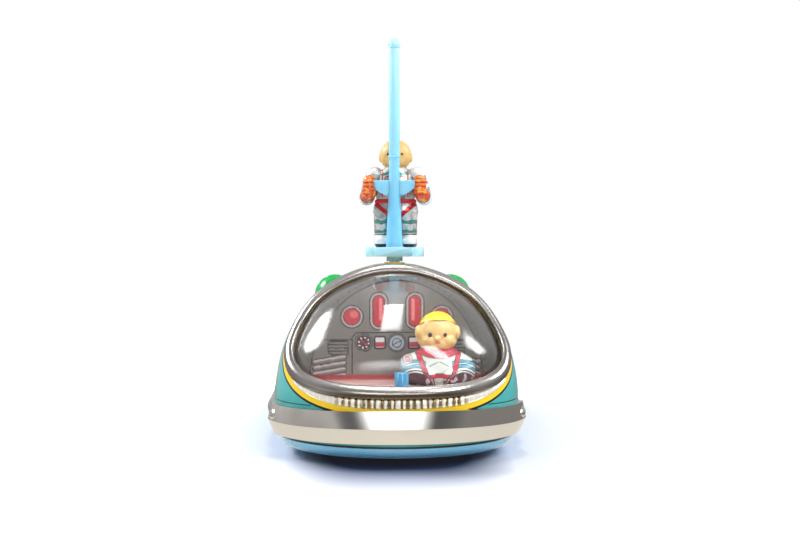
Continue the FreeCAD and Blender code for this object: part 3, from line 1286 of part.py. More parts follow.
def check_and_export():
    """Stop on any failed object, then write each node's solids."""
    doc.recompute()
    failed = [thing.Label for thing in doc.Objects if {"Invalid", "Error"} & set(thing.State)]
    failed += [name for name, thing in nodes.items()
               if thing.Shape.isNull() or not thing.Shape.isValid() or not thing.Shape.Solids]
    if failed:
        raise RuntimeError("failed: " + ", ".join(failed))
    os.makedirs("parts", exist_ok=True)
    for name, thing in nodes.items():
        thing.Shape.exportStep(f"parts/{name}.step")
        box = thing.Shape.optimalBoundingBox(False)
        spans = " ".join(f"{low:.1f}..{high:.1f}" for low, high in
                         ((box.XMin, box.XMax), (box.YMin, box.YMax), (box.ZMin, box.ZMax)))
        print(f"{name}: {len(thing.Shape.Solids)} solid, {thing.Shape.Volume:.1f} mm3, {spans}")


for make in (make_hull_shell, make_pan, make_transom, make_bumper, make_bullets, make_pods, make_bezel,
             make_canopy, make_cockpit, make_lamps, make_pilot, make_drive, make_axles, make_swivel, make_mast,
             make_figure, make_power, make_rear_bracket, make_switch, make_nozzles, make_screws):
    make()
check_and_export()
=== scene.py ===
"""Finishes and dressing pieces for a battery tin space boat with a bubble cockpit."""
import json
import math

import bmesh
import bpy
from bpy.props import FloatProperty, FloatVectorProperty, IntProperty, PointerProperty
from mathutils import Matrix, Vector
from mathutils.bvhtree import BVHTree

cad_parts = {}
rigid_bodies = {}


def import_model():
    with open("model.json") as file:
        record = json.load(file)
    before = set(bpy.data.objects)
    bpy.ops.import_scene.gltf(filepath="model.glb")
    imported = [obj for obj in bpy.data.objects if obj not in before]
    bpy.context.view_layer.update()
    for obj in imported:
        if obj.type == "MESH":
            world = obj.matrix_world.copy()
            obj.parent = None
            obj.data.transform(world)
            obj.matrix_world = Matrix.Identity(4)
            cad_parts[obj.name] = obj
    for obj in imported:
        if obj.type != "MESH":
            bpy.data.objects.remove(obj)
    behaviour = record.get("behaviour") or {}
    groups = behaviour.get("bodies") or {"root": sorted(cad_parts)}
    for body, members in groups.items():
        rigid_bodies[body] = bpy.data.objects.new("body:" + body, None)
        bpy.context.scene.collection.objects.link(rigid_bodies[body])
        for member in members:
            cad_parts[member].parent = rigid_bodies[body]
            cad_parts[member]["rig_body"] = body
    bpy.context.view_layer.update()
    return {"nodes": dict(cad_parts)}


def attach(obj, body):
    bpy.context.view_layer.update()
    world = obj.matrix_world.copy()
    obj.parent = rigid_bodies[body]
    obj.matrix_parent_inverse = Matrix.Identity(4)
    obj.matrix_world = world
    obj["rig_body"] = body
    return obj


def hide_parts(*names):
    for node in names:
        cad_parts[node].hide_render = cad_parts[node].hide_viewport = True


bl_info = {
    "name": "Tin space boat",
    "version": (1, 0, 0),
    "blender": (4, 5, 0),
    "location": "3D View > Sidebar > Space Boat",
    "description": "Dresses a battery tin space boat with its finishes, print, crew and trim",
    "category": "Object",
}

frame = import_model()
MM = 0.001
TAB = "Space Boat"

# The cockpit is opened by a round cut. Its axis lies along X at this y and z, and its edge this far from it.
RIM_Y, RIM_Z, RIM_REACH = -191.4 * MM, 138.8 * MM, 107.9 * MM

# Middle of the pilot's head, foot of the astronaut, and how far the astronaut is turned.
PILOT = Vector((23.5, -115.0, 72.3)) * MM
CREW = Vector((0.0, -76.0, 0.0)) * MM
CREW_TURN = math.radians(-6)

# Width over which the edge of a print fades, and the sockets of a Mix node that take plain numbers and colours.
EDGE_SOFT = 0.15 * MM
MIX_NUMBERS, MIX_COLOURS, MIX_COLOUR_OUT = (2, 3), (6, 7), 2


# ---------------------------------------------------------------- shader maths

class Wire:
    """A node socket that takes part in ordinary arithmetic."""

    def __init__(self, nodes, socket):
        self.nodes = nodes
        self.socket = socket

    def _math(self, operation, *values):
        return self.nodes.node("ShaderNodeMath", {"operation": operation}, *values)

    def __add__(self, other):
        return self._math("ADD", self, other)

    def __sub__(self, other):
        return self._math("SUBTRACT", self, other)

    def __mul__(self, other):
        return self._math("MULTIPLY", self, other)

    def __truediv__(self, other):
        return self._math("DIVIDE", self, other)

    def __rsub__(self, other):
        return self._math("SUBTRACT", other, self)

    def __pow__(self, other):
        return self._math("POWER", self, other)

    __radd__ = __add__
    __rmul__ = __mul__

    def __abs__(self):
        return self._math("ABSOLUTE", self)

    def over(self, other):
        return self._math("MAXIMUM", self, other)

    def under(self, other):
        return self._math("MINIMUM", self, other)

    def root(self):
        return self._math("SQRT", self)

    def sine(self):
        return self._math("SINE", self)

    def bearing(self, other):
        return self._math("ARCTAN2", self, other)

    def repeat(self, pitch):
        """Distance to the nearest whole multiple of the pitch."""
        return abs(self._math("WRAP", self, pitch / 2, -pitch / 2))

    def below(self, limit, soft=EDGE_SOFT):
        """One where the value is under the limit, zero above it, with a soft edge."""
        falling = (limit - self) / soft + 0.5
        return falling.over(0.0).under(1.0)

    def above(self, limit, soft=EDGE_SOFT):
        return 1.0 - self.below(limit, soft)


class Nodes:
    """A node tree, with one way to make its nodes and one way to fill their sockets."""

    def __init__(self, tree):
        self.tree = tree

    def node(self, kind, settings=None, *values, out=0, numbered=None, **named):
        """Make a node: its settings first, then its sockets in order, by number and by name.

        Several outputs are asked for as a tuple, and come back as a list.
        """
        made = self.tree.nodes.new(kind)
        for key, value in (settings or {}).items():
            setattr(made, key, value)
        self.feed(made, {**dict(enumerate(values)), **(numbered or {}), **named})
        if isinstance(out, tuple):
            return [Wire(self, made.outputs[key]) for key in out]
        return Wire(self, made.outputs[out])

    def feed(self, made, values):
        """Give sockets of a node their values or links; an underscore in a name stands for a space."""
        for key, value in values.items():
            socket = made.inputs[key.replace("_", " ") if isinstance(key, str) else key]
            if isinstance(value, Wire):
                self.tree.links.new(value.socket, socket)
            elif socket.type == "RGBA":
                socket.default_value = (*value, 1.0)
            else:
                socket.default_value = value

    def split(self, vector):
        return self.node("ShaderNodeSeparateXYZ", None, vector, out=("X", "Y", "Z"))


class Paint(Nodes):
    """A material built from one Principled shader."""

    def __init__(self, name):
        self.material = bpy.data.materials.new(name)
        self.material.use_nodes = True
        super().__init__(self.material.node_tree)
        self.shader = self.tree.nodes["Principled BSDF"]
        self.shaded = Wire(self, self.shader.outputs[0])

    def set(self, **values):
        self.feed(self.shader, values)
        return self

    def show(self, surface):
        """Use another shader for the material's surface."""
        self.feed(self.tree.nodes["Material Output"], {"Surface": surface})

    def placed(self, kind="POINT", **mapping):
        """Object coordinates, moved, turned or stretched."""
        where = self.node("ShaderNodeTexCoord", out="Object")
        return self.node("ShaderNodeMapping", {"vector_type": kind}, where, **mapping)

    def axes(self, centre=(0, 0, 0), turn=0.0):
        """Coordinates about a centre that is turned about the upright, as x, y and z in metres."""
        return self.split(self.placed(kind="TEXTURE", Location=centre, Rotation=(0, 0, turn)))

    def mix(self, mask, base, top):
        """Colour that is the base where the mask is zero, and the top where it is one."""
        return self.node("ShaderNodeMix", {"data_type": "RGBA"}, mask, numbered=dict(zip(MIX_COLOURS, (base, top))),
                         out=MIX_COLOUR_OUT)

    def noise(self, scale, detail=3.0, stretch=(1, 1, 1)):
        return self.node("ShaderNodeTexNoise", None, Vector=self.placed(Scale=stretch), Scale=scale, Detail=detail)

    def bump(self, height, strength, depth):
        return self.set(Normal=self.node("ShaderNodeBump", None, Height=height, Strength=strength, Distance=depth))


def dimmed(shade, share):
    """A plain colour brought down to a share of its light."""
    return tuple(part * share for part in shade)


class Print(Paint):
    """Glossy enamel or print on tin, faintly uneven and dented, laid colour over colour."""

    def __init__(self, name, shade, rough=0.16, coat=0.6):
        super().__init__(name)
        cloud = self.noise(18.0, 4.0)
        self.colour = self.mix(cloud * 0.22, shade, dimmed(shade, 0.72))
        self.set(Base_Color=self.colour, Roughness=rough + cloud * 0.08, Coat_Weight=coat, Coat_Roughness=0.06)
        self.bump(self.noise(55.0, 2.0), 0.12, 0.4 * MM)

    def lay(self, mask, shade):
        """Print a colour over what is there."""
        self.colour = self.mix(mask, self.colour, shade)
        self.set(Base_Color=self.colour)

    def fill(self, distance, shade, grow=0.0):
        """Print a form given by its signed distance, wider by some millimetres."""
        self.lay(distance.below(grow * MM), shade)

    def stripe(self, distance, shade, line, half, edge, where=1.0):
        """Print a stripe between two lines, half its width and the lines' width in millimetres."""
        for tone, wide in ((line, half + edge), (shade, half)):
            self.lay(distance.below(wide * MM) * where, tone)

    def framed(self, distance, shade, rim, line, edge):
        """Print a window or a dial, in a rim between two lines."""
        for tone, grow in ((line, edge + 0.15), (rim, edge - 0.55), (line, 0.5), (shade, 0.0)):
            self.fill(distance, tone, grow)


def span(across, up):
    """Length of a step across and up."""
    return (across * across + up * up).root()


def disc(x, z, cx, cz, radius):
    """Signed distance to a circle in millimetres of a flat print."""
    return span(x - cx * MM, z - cz * MM) - radius * MM


def panel(x, z, cx, cz, half_wide, half_tall, corner):
    """Signed distance to a rounded rectangle."""
    return span((abs(x - cx * MM) - (half_wide - corner) * MM).over(0.0),
                (abs(z - cz * MM) - (half_tall - corner) * MM).over(0.0)) - corner * MM


def segment(x, z, x1, z1, x2, z2):
    """Distance to a straight stroke."""
    ax, az = (x2 - x1) * MM, (z2 - z1) * MM
    px, pz = x - x1 * MM, z - z1 * MM
    share = ((px * ax + pz * az) / (ax * ax + az * az)).over(0.0).under(1.0)
    return span(px - share * ax, pz - share * az)


def oval(x, y, half_x, half_y, power=2.0):
    """Share of the way from the middle of an oval to its edge; a higher power is squarer."""
    return ((x / half_x) ** power + (y / half_y) ** power) ** (1 / power)


def ink(red, green, blue):
    """A colour as a printer names it, 0 to 255, in the linear form that shaders use."""
    return tuple((value / 255 / 12.92) if value < 11 else ((value / 255 + 0.055) / 1.055) ** 2.4
                 for value in (red, green, blue))


# ---------------------------------------------------------------- mesh helpers

def piece(name, mesh, body, paint, angle, replaces=()):
    """Bring a bmesh into the scene as a finished piece that rides on a body, smooth up to an angle."""
    data = bpy.data.meshes.new(name)
    mesh.to_mesh(data)
    mesh.free()
    thing = bpy.data.objects.new(name, data)
    bpy.context.scene.collection.objects.link(thing)
    data.materials.append(paint.material)
    data.shade_smooth()
    data.set_sharp_from_angle(angle=math.radians(angle))
    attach(thing, body)
    if replaces:
        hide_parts(*replaces)
    return thing


def merged(name):
    """Copy of a frame node's mesh with its triangles joined."""
    mesh = bmesh.new()
    mesh.from_mesh(frame["nodes"][name].data)
    bmesh.ops.remove_doubles(mesh, verts=mesh.verts, dist=0.002 * MM)
    return mesh


def smoothed(paint, angle, *names):
    """Stand smooth-shaded copies in for frame nodes, in the same place and shape."""
    for name in names:
        body = frame["nodes"][name]["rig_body"]
        skin = piece(name + "_skin", merged(name), body, paint, angle, (name,))
        level = skin.modifiers.new("Even shading", "WEIGHTED_NORMAL")
        level.keep_sharp = True


def coat(paint, *names):
    """Give frame nodes a finish, leaving their shape alone."""
    for name in names:
        data = frame["nodes"][name].data
        data.materials.clear()
        data.materials.append(paint.material)


def at(mesh, verts, where, turn=None):
    """Move fresh vertices to their place."""
    matrix = Matrix.Translation(Vector(where))
    if turn:
        matrix = matrix @ turn.to_4x4()
    bmesh.ops.transform(mesh, matrix=matrix, verts=verts)


def ellipsoid(mesh, where, radii, turn=None, rings=20):
    """Add an ellipsoid, its radii in millimetres."""
    made = bmesh.ops.create_uvsphere(mesh, u_segments=2 * rings, v_segments=rings, radius=1.0)["verts"]
    bmesh.ops.scale(mesh, vec=Vector([radius * MM for radius in radii]), verts=made)
    at(mesh, made, where, turn)


def ring(mesh, radius, thick, section=12, flatten=1.0, around=48):
    """Add a torus about the origin, its axis along Z and its sizes in millimetres, and give its vertices."""
    known = set(mesh.verts)
    made = bmesh.ops.create_circle(mesh, cap_ends=False, segments=section, radius=thick * MM,
                                   matrix=Matrix.Rotation(math.pi / 2, 4, "X"))["verts"]
    bmesh.ops.scale(mesh, vec=Vector((1, 1, flatten)), verts=made)
    bmesh.ops.translate(mesh, vec=Vector((radius * MM, 0, 0)), verts=made)
    edges = list({edge for vert in made for edge in vert.link_edges})
    bmesh.ops.spin(mesh, geom=made + edges, cent=(0, 0, 0), axis=(0, 0, 1), dvec=(0, 0, 0),
                   angle=2 * math.pi, steps=around, use_merge=True, use_duplicate=False)
    return [vert for vert in mesh.verts if vert not in known]


def cut_away(mesh, place, normal):
    """Cut a mesh along a plane and drop the part behind it."""
    bmesh.ops.bisect_plane(mesh, geom=mesh.verts[:] + mesh.edges[:] + mesh.faces[:], plane_co=place, plane_no=normal,
                           clear_inner=True)


def walled(thing, thickness):
    """Give a skin a wall on its inner side."""
    wall = thing.modifiers.new("Wall", "SOLIDIFY")
    wall.thickness, wall.offset = thickness, -1


def melted(thing, voxel):
    """Join forms that overlap into one smooth skin."""
    melt = thing.modifiers.new("Melt", "REMESH")
    melt.mode, melt.voxel_size, melt.use_smooth_shade = "VOXEL", voxel, True


# ---------------------------------------------------------------- sizes and colours a user may change

def colour(name, text, shade):
    return FloatVectorProperty(name=name, description=text, subtype="COLOR", size=3, min=0.0, max=1.0, default=shade)


def length(name, text, value):
    return FloatProperty(name=name, description=text, subtype="DISTANCE", unit="LENGTH", min=0.0, default=value * MM)


class BoatColours(bpy.types.PropertyGroup):
    hull: colour("Hull", "Teal print of the tin hull", ink(68, 174, 174))
    pan: colour("Pan", "Light blue enamel of the pan", ink(130, 208, 240))
    line: colour("Line", "Black line round the cockpit and the seams", ink(18, 24, 22))
    trim: colour("Trim", "Yellow print round the cockpit", ink(245, 205, 30))
    mast: colour("Mast", "Light blue plastic of mast and platform", ink(124, 200, 236))
    lamp: colour("Lamp", "Green plastic of the domes", ink(40, 200, 104))
    wall: colour("Wall", "Grey print of the instrument wall", ink(106, 102, 95))
    red: colour("Red", "Red print of windows and straps", ink(178, 36, 48))
    suit: colour("Suit", "White print of the pilot's suit", ink(196, 198, 188))
    skin: colour("Skin", "Cream plastic of the heads", ink(220, 182, 114))


class BoatSizes(bpy.types.PropertyGroup):
    yellow_band: length("Yellow band", "Width of the yellow print behind the cut edge", 7.0)
    outline: length("Outline", "Width of the black line behind it", 1.3)
    rib_count: IntProperty(name="Lamp ribs", description="Ribs moulded in each dome", min=8, default=36)
    crimp_pitch: length("Crimp pitch", "Distance between the crimps of the flange", 3.6)
    stroke: length("Stroke", "Width of the printed lines", 0.7)


def colours():
    return bpy.context.scene.boat_colours


def sizes():
    return bpy.context.scene.boat_sizes


def tint(name):
    return tuple(getattr(colours(), name))


# ---------------------------------------------------------------- finishes

def hull_print():
    """Teal hull print with a yellow band and a black line that follow the cockpit's edge."""
    shade, line = tint("hull"), tint("line")
    paint = Print("hull litho", shade)
    x, y, z = paint.axes()
    # Painted shade: the teal darkens toward the bottom of the hull.
    paint.lay(z.below(33 * MM, 30 * MM), dimmed(shade, 0.8))
    # Painted shadow of the bumper: a dark teal line on the hull just above it, toward its ends.
    bumper_shadow_line = abs(z - 33.5 * MM).below(0.35 * MM) * (y + 100 * MM).below(0) * abs(x).above(50 * MM)
    paint.lay(bumper_shadow_line, ink(10, 84, 82))
    paint.lay(z.below(12.0 * MM), line)
    reach = span(y - RIM_Y, z - RIM_Z) - RIM_REACH
    band = 1.03 * sizes().yellow_band - (abs(x) / (66 * MM)) ** 4.0 * (5.0 * MM)
    paint.lay(reach.below(band + sizes().outline), line)
    paint.lay(reach.below(band), tint("trim"))
    return paint


def pan_enamel():
    """Light blue enamel, with painted shade that darkens it toward the rolled lower edge."""
    shade = tint("pan")
    paint = Print("pan enamel", shade)
    _, _, z = paint.axes()
    # Painted shade: darker toward the rolled lower edge, with the flat bottom left plain.
    paint.lay((8.6 * MM - z).above(0, 4.4 * MM) * z.above(4.66 * MM, 0.1 * MM), dimmed(shade, 0.72))
    return paint


def chrome(name, shade, rough=0.07, wear=0.10):
    """Plated metal with fine wiping marks and a few dull patches."""
    paint = Paint(name)
    patches = paint.noise(40.0, 5.0)
    wipes = paint.noise(260.0, 2.0, (1, 1, 6))
    return paint.set(Base_Color=paint.mix(patches * 0.35, shade, dimmed(shade, 0.82)), Metallic=1.0,
                     Roughness=rough + patches * wear * (wipes * 0.6 + 0.4))


def plastic(name, shade, rough=0.28, glow=0.0, speck=0.18):
    """Moulded plastic with soft random changes of colour and a faint moulding texture."""
    paint = Paint(name)
    drift_and_painted_light = paint.noise(30.0, 3.0)
    paint.set(Base_Color=paint.mix(drift_and_painted_light * speck, shade, dimmed(shade, 0.78)), Roughness=rough + drift_and_painted_light * 0.12,
              Subsurface_Weight=glow)
    if glow:
        paint.set(Subsurface_Radius=(1.0, 1.0, 1.0), Subsurface_Scale=2.5 * MM)
    return paint.bump(paint.noise(420.0, 2.0), 0.05, 0.1 * MM)


def clear(name, shade, rough=0.02):
    """Clear moulded plastic that lets the light of the lamps through."""
    paint = Paint(name)
    haze = paint.noise(22.0, 3.0)
    paint.set(Base_Color=shade, Roughness=rough + haze * 0.02, Transmission_Weight=1.0, IOR=1.46)
    through = paint.node("ShaderNodeBsdfTransparent", None, Color=shade)
    in_shadow = paint.node("ShaderNodeLightPath", out="Is Shadow Ray")
    paint.show(paint.node("ShaderNodeMixShader", None, in_shadow, paint.shaded, through))
    return paint


def wall_print():
    """Printed instrument wall: riveted arch, red windows, dials, grille and cushion folds."""
    paint = Print("wall litho", tint("wall"), 0.3, 0.3)
    paint.set(Metallic=0.35)
    x, _, z = paint.axes()
    centre = 1.0
    line, red, pale = ink(22, 18, 22), tint("red"), ink(164, 152, 150)
    paint.lay(paint.noise(9.0, 2.0) * 0.35, ink(136, 132, 125))
    paint.lay((z - 80 * MM).above(0, 20 * MM) * abs(x).below(12 * MM, 20 * MM) * 0.5, ink(170, 172, 176))

    mirrored = abs(x - centre * MM)
    paint.framed(panel(mirrored, z, 11.1, 83.0, 3.5, 9.4, 3.4), red, pale, line, 2.3)
    paint.fill(panel(mirrored, z, 10.0, 84.0, 1.0, 7.0, 1.0), ink(214, 120, 120))
    paint.framed(disc(mirrored, z, 27.7, 79.6, 4.9), red, pale, line, 2.2)
    paint.fill(disc(mirrored, z, 26.6, 81.0, 2.4), ink(206, 92, 96))

    dash = ((0, 69.8), (25.0, 69.8), (27.6, 66.8), (27.6, 42.0))
    ledge = ((27.6, 65.4), (48.0, 65.4))
    for start, end in (*zip(dash, dash[1:]), ledge):
        paint.fill(segment(mirrored, z, *start, *end) - sizes().stroke * 0.5, line)

    side_x, side_z = 20.4, 63.6
    dial = disc(mirrored, z, side_x, side_z, 4.2)
    paint.framed(dial, ink(60, 34, 40), pale, line, 1.3)
    ticks = ((z - side_z * MM).bearing(mirrored - side_x * MM) * 8.0).sine().above(0.4, 0.3)
    paint.lay(ticks * abs(dial + 1.2 * MM).below(0.5 * MM), ink(222, 212, 206))
    paint.fill(segment(mirrored, z, 18.6, 62.2, 22.0, 65.2) - 0.25 * MM, ink(206, 60, 60))
    dial = disc(x, z, centre, 63.4, 4.4)
    paint.framed(dial, ink(150, 158, 168), pale, line, 1.3)
    paint.fill(abs(dial + 1.6 * MM) - 0.25 * MM, line)
    paint.fill(segment(x, z, -1.6, 62.0, 3.8, 65.0) - 0.3 * MM, line)
    for gauge in (-9.4, 11.4):
        paint.framed(panel(x, z, gauge, side_z, 2.7, 3.1, 0.6), ink(206, 202, 198), pale, line, 1.0)
        paint.fill(panel(x, z, gauge, 62.1, 2.7, 1.2, 0.4), red)
        paint.fill(segment(x, z, gauge - 2.6, side_z, gauge + 2.6, side_z) - 0.25 * MM, line)

    grille = panel(mirrored, z, 36.0, 60.4, 6.2, 4.4, 2.2)
    paint.fill(abs(grille) - 0.3 * MM, line)
    paint.lay((z - 60.4 * MM).repeat(2.0 * MM).below(0.35 * MM) * grille.below(0), line)

    level = z + (mirrored - 31 * MM) * 0.16
    for height in (44.0, 47.6, 51.2, 54.8):
        fold = panel(mirrored, level, 41.6, height, 10.6, 1.75, 1.7)
        paint.fill(fold, ink(126, 120, 116), 0.45)
        paint.fill(abs(fold) - 0.28 * MM, line)
        light = abs(level - (height + 0.7) * MM).below(0.5 * MM, 0.5 * MM)
        paint.lay(light * fold.below(-0.5 * MM), ink(180, 176, 172))
        shade = abs(level - (height - 1.0) * MM).below(0.45 * MM, 0.5 * MM)
        paint.lay(shade * fold.below(-0.3 * MM), ink(96, 92, 94))

    arch_x, arch_z = x - centre * MM, z - 41.0 * MM
    arch = oval(arch_x, arch_z, 53.5 * MM, 60.5 * MM)
    paint.lay(arch.above(1.0, 0.01), ink(100, 96, 90))
    paint.lay(abs(arch - 1.0).below(0.006, 0.004), line)
    rivets = arch_z.bearing(arch_x).repeat(math.pi / 44).below(0.012, 0.006)
    paint.lay(rivets * abs(arch - 1.045).below(0.011, 0.006), ink(60, 54, 52))
    paint.lay(z.below(44.2 * MM), ink(150, 46, 46))
    return paint


def floor_print():
    """Printed cockpit floor: a red edge along the wall, pink and cream boards before it."""
    paint = Print("floor litho", ink(206, 150, 142), 0.3, 0.3)
    x, y, _ = paint.axes()
    paint.lay(y.above(-93 * MM, 2 * MM), tint("red"))
    boards = (y + 104 * MM).repeat(11 * MM).below(1.2 * MM, 2 * MM)
    paint.lay(boards * y.below(-95 * MM), ink(232, 214, 200))
    paint.lay((y - x * 0.12 + 101 * MM).repeat(13 * MM).below(0.3 * MM), ink(60, 30, 34))
    return paint


def pilot_print():
    """White suit with curved blue bands and dark cuffs on the arms, a red harness, belt and collar."""
    paint = Print("pilot litho", tint("suit"), 0.3, 0.4)
    x, _, z = paint.axes((PILOT.x, PILOT.y, 0))
    across = abs(x)
    line, blue, red = ink(40, 34, 44), ink(66, 138, 160), ink(172, 30, 52)
    cuff = disc(across, z, 13.0, 40.4, 0.0)
    for radius in (12.9, 15.4):
        paint.stripe(abs(cuff - radius * MM), blue, line, 0.65, 0.35, across.above(7.5 * MM))
    badge = disc(x, z, -18.0, 56.9, 2.8)
    paint.fill(badge, ink(84, 74, 78))
    paint.fill(abs(badge + 0.8 * MM), ink(220, 214, 208), 0.25)
    paint.fill(badge, ink(196, 130, 130), -1.5)
    paint.stripe(segment(across, z, 12.0, 60.4, 7.6, 48.0), red, line, 1.2, 0.4)
    paint.stripe(panel(across, z, 0.0, 47.8, 8.4, 1.0, 0.3), red, line, 0.0, 0.35)
    quilt = segment(across, z, 0.6, 55.6, 5.6, 53.0).under(segment(across, z, 0.4, 43.4, 4.4, 45.4))
    paint.fill(quilt, ink(110, 130, 140), 0.3)
    paint.stripe(57.6 * MM - (z - across * across * 20.0), red, line, 0.0, 0.4)
    paint.fill(abs(cuff - 10.6 * MM), line, 0.35)
    paint.fill(cuff, ink(62, 26, 40), 9.6)
    glint = paint.noise(160.0, 2.0).above(0.60, 0.03) * cuff.below(8.8 * MM)
    paint.lay(glint * 0.7, ink(196, 186, 196))
    return paint


def crew_suit(name, shade, stretch, crease, crease_shade):
    """Silver tin crumpled by painted highlights on folds and painted shade in creases, with its coordinates, its
    folds and the colours of its lines and bands.
    """
    paint = Print(name, shade, 0.24, 0.4)
    folds = paint.noise(150.0, 3.0, stretch)
    # Painted highlights on the bright folds, then painted shade in thin dark creases.
    paint.lay(folds.above(0.50, 0.08) * 0.7, ink(238, 240, 238))
    paint.lay(abs(folds - crease).below(0.010, 0.012) * 0.8, crease_shade)
    return paint, paint.axes(CREW, CREW_TURN), folds, (ink(70, 76, 80), ink(84, 158, 142), ink(196, 30, 38))


def crew_print():
    """Silver suit with green bands, red harness, white boots with black soles."""
    paint, (x, y, z), folds, (line, green, red) = crew_suit("crew litho", ink(182, 186, 186), (1, 1, 0.5), 0.44,
                                                            ink(110, 120, 124))
    across = abs(x)
    wave = (folds - 0.5) * (5.0 * MM)
    for height, half_tall in ((138.6, 0.8), (132.6, 0.6), (169.2, 0.7)):
        paint.stripe(abs(z - height * MM + wave), green, line, half_tall, 0.25)
    paint.fill(abs(panel(x, z, 0.0, 163.4, 6.2, 3.4, 0.8)), red, 0.35)
    paint.lay(across.below(0.3 * MM) * z.above(153 * MM) * z.below(169 * MM), line)
    paint.lay(abs(across - 8.0 * MM).below(0.35 * MM) * z.above(154 * MM), red)
    in_front = (y - 12 * MM).below(0)
    paint.stripe(segment(across, z, 13.0, 150.4, 2.4, 141.6), red, line, 1.15, 0.2, in_front)
    boot_top = 130.6 * MM
    boots = z.below(boot_top)
    paint.lay(boots, ink(232, 232, 228))
    paint.fill(abs(z - boot_top), line, 0.3)
    laces = (z - 126.0 * MM).repeat(1.6 * MM).below(0.25 * MM)
    paint.lay(laces * boots * (y + 0.5 * MM).below(0), ink(150, 154, 156))
    paint.lay(z.below(124.6 * MM), ink(22, 22, 24))
    paint.set(Metallic=boots.below(0.5, 0.1) * 0.45)
    return paint


def arm_print():
    """Silver sleeve with red and green bands and an orange glove."""
    paint, (x, y, z), _, (line, green, red) = crew_suit("arm litho", ink(190, 195, 194), (1, 1, 1), 0.45,
                                                        ink(150, 60, 70))
    down = (169 * MM - z) + abs(x) * 0.15
    behind = (y - 6 * MM).above(0)
    for start, shade in ((5.0, green), (8.4, red), (12.6, green)):
        paint.stripe(abs(down - start * MM), shade, line, 0.7, 0.3, behind)
    hand = (y - 4.6 * MM).below(0)
    paint.fill(abs(y - 4.9 * MM), line, 0.5)
    paint.lay(hand, ink(236, 112, 40))
    fingers = (z - 155.0 * MM).repeat(2.5 * MM).below(0.28 * MM)
    paint.lay(fingers * (y - 2.0 * MM).below(0), ink(120, 40, 22))
    paint.lay((z - 158.5 * MM).below(0, 5 * MM) * hand * 0.7, ink(204, 52, 34))
    # Painted highlights: yellow flecks on the glove.
    paint.lay(paint.noise(190.0, 2.0).above(0.54, 0.06) * hand * 0.7, ink(250, 176, 70))
    return paint


def glove_print():
    """Orange glove, redder below, flecked with painted yellow highlights and lined between the fingers."""
    paint = plastic("glove print", ink(232, 100, 38), 0.24, 0, 0.3)
    _, _, z = paint.axes()
    tone = paint.mix((z - 159.5 * MM).below(0, 6 * MM) * 0.75, ink(240, 118, 44), ink(202, 48, 32))
    # Painted highlights: yellow flecks over the orange.
    tone = paint.mix(paint.noise(190.0, 2.0).above(0.54, 0.06) * 0.75, tone, ink(252, 182, 72))
    gaps = (z - 155.2 * MM).repeat(2.4 * MM).below(0.22 * MM)
    return paint.set(Base_Color=paint.mix(gaps, tone, ink(120, 36, 24)))


def bezel_chrome():
    """Frosted chrome, with painted shade that darkens it to brown at its foot and dims its reflections at its sides.
    """
    shade = (0.60, 0.57, 0.54)
    paint = chrome("bezel chrome", shade, 0.19, 0.16)
    x, _, z = paint.axes()
    # Painted shade: the chrome's foot is darkened to brown.
    tone = paint.mix(z.below(41.4 * MM, 2.5 * MM), shade, (0.17, 0.13, 0.09))
    # Painted shade: the chrome is dimmed at its sides, which tones down the lamps' reflections there.
    return paint.set(Base_Color=paint.mix(abs(x).above(54 * MM, 16 * MM) * 0.85, tone, (0.24, 0.22, 0.215)))


def crimp_plate(pitch, crimped):
    """Pale plating with painted highlights on the crimps' crests and painted brown shade between them, plain beyond
    them.
    """
    paint = chrome("gilt", (0.90, 0.80, 0.56), 0.12)
    along, _, _ = paint.axes()
    blotch = paint.noise(260.0, 2.0, (1, 0.1, 0.1))
    # Painted light: the crimps' crests are painted pale and the hollows between them brown, as lit and shaded.
    crest_highlight = (along * (2 * math.pi / pitch) + blotch * 9.0).sine().above(0.15, 1.3)
    bright = crest_highlight.over(abs(along).above(crimped - 3 * MM, 6 * MM) * 0.92)
    return paint.set(Base_Color=paint.mix(bright, (0.34, 0.25, 0.11), (0.97, 0.93, 0.83)),
                     Metallic=bright.below(0.5, 1.0) * 0.5 + 0.3)


def mast_plastic():
    """Light blue plastic, with painted light that makes it paler at the mast's tip and round its foot."""
    shade = tint("mast")
    paint = plastic("mast plastic", shade, 0.25, 0.6)
    _, _, z = paint.axes()
    pale = tuple(part ** 0.45 for part in shade)
    # Painted light: the mast turns paler toward its tip and at its foot, where it stands in shade.
    drift_and_painted_light = (z.above(196 * MM, 90 * MM) * 0.8).over(z.below(123 * MM, 2 * MM) * 0.75)
    # Painted light on the stub under the platform, which is in shade: a brighter blue.
    foot = z.below(115.8 * MM, 0.6 * MM)
    return paint.set(Subsurface_Scale=6.0 * MM,
                     Base_Color=paint.mix(foot, paint.mix(drift_and_painted_light, shade, pale), ink(150, 206, 255)))


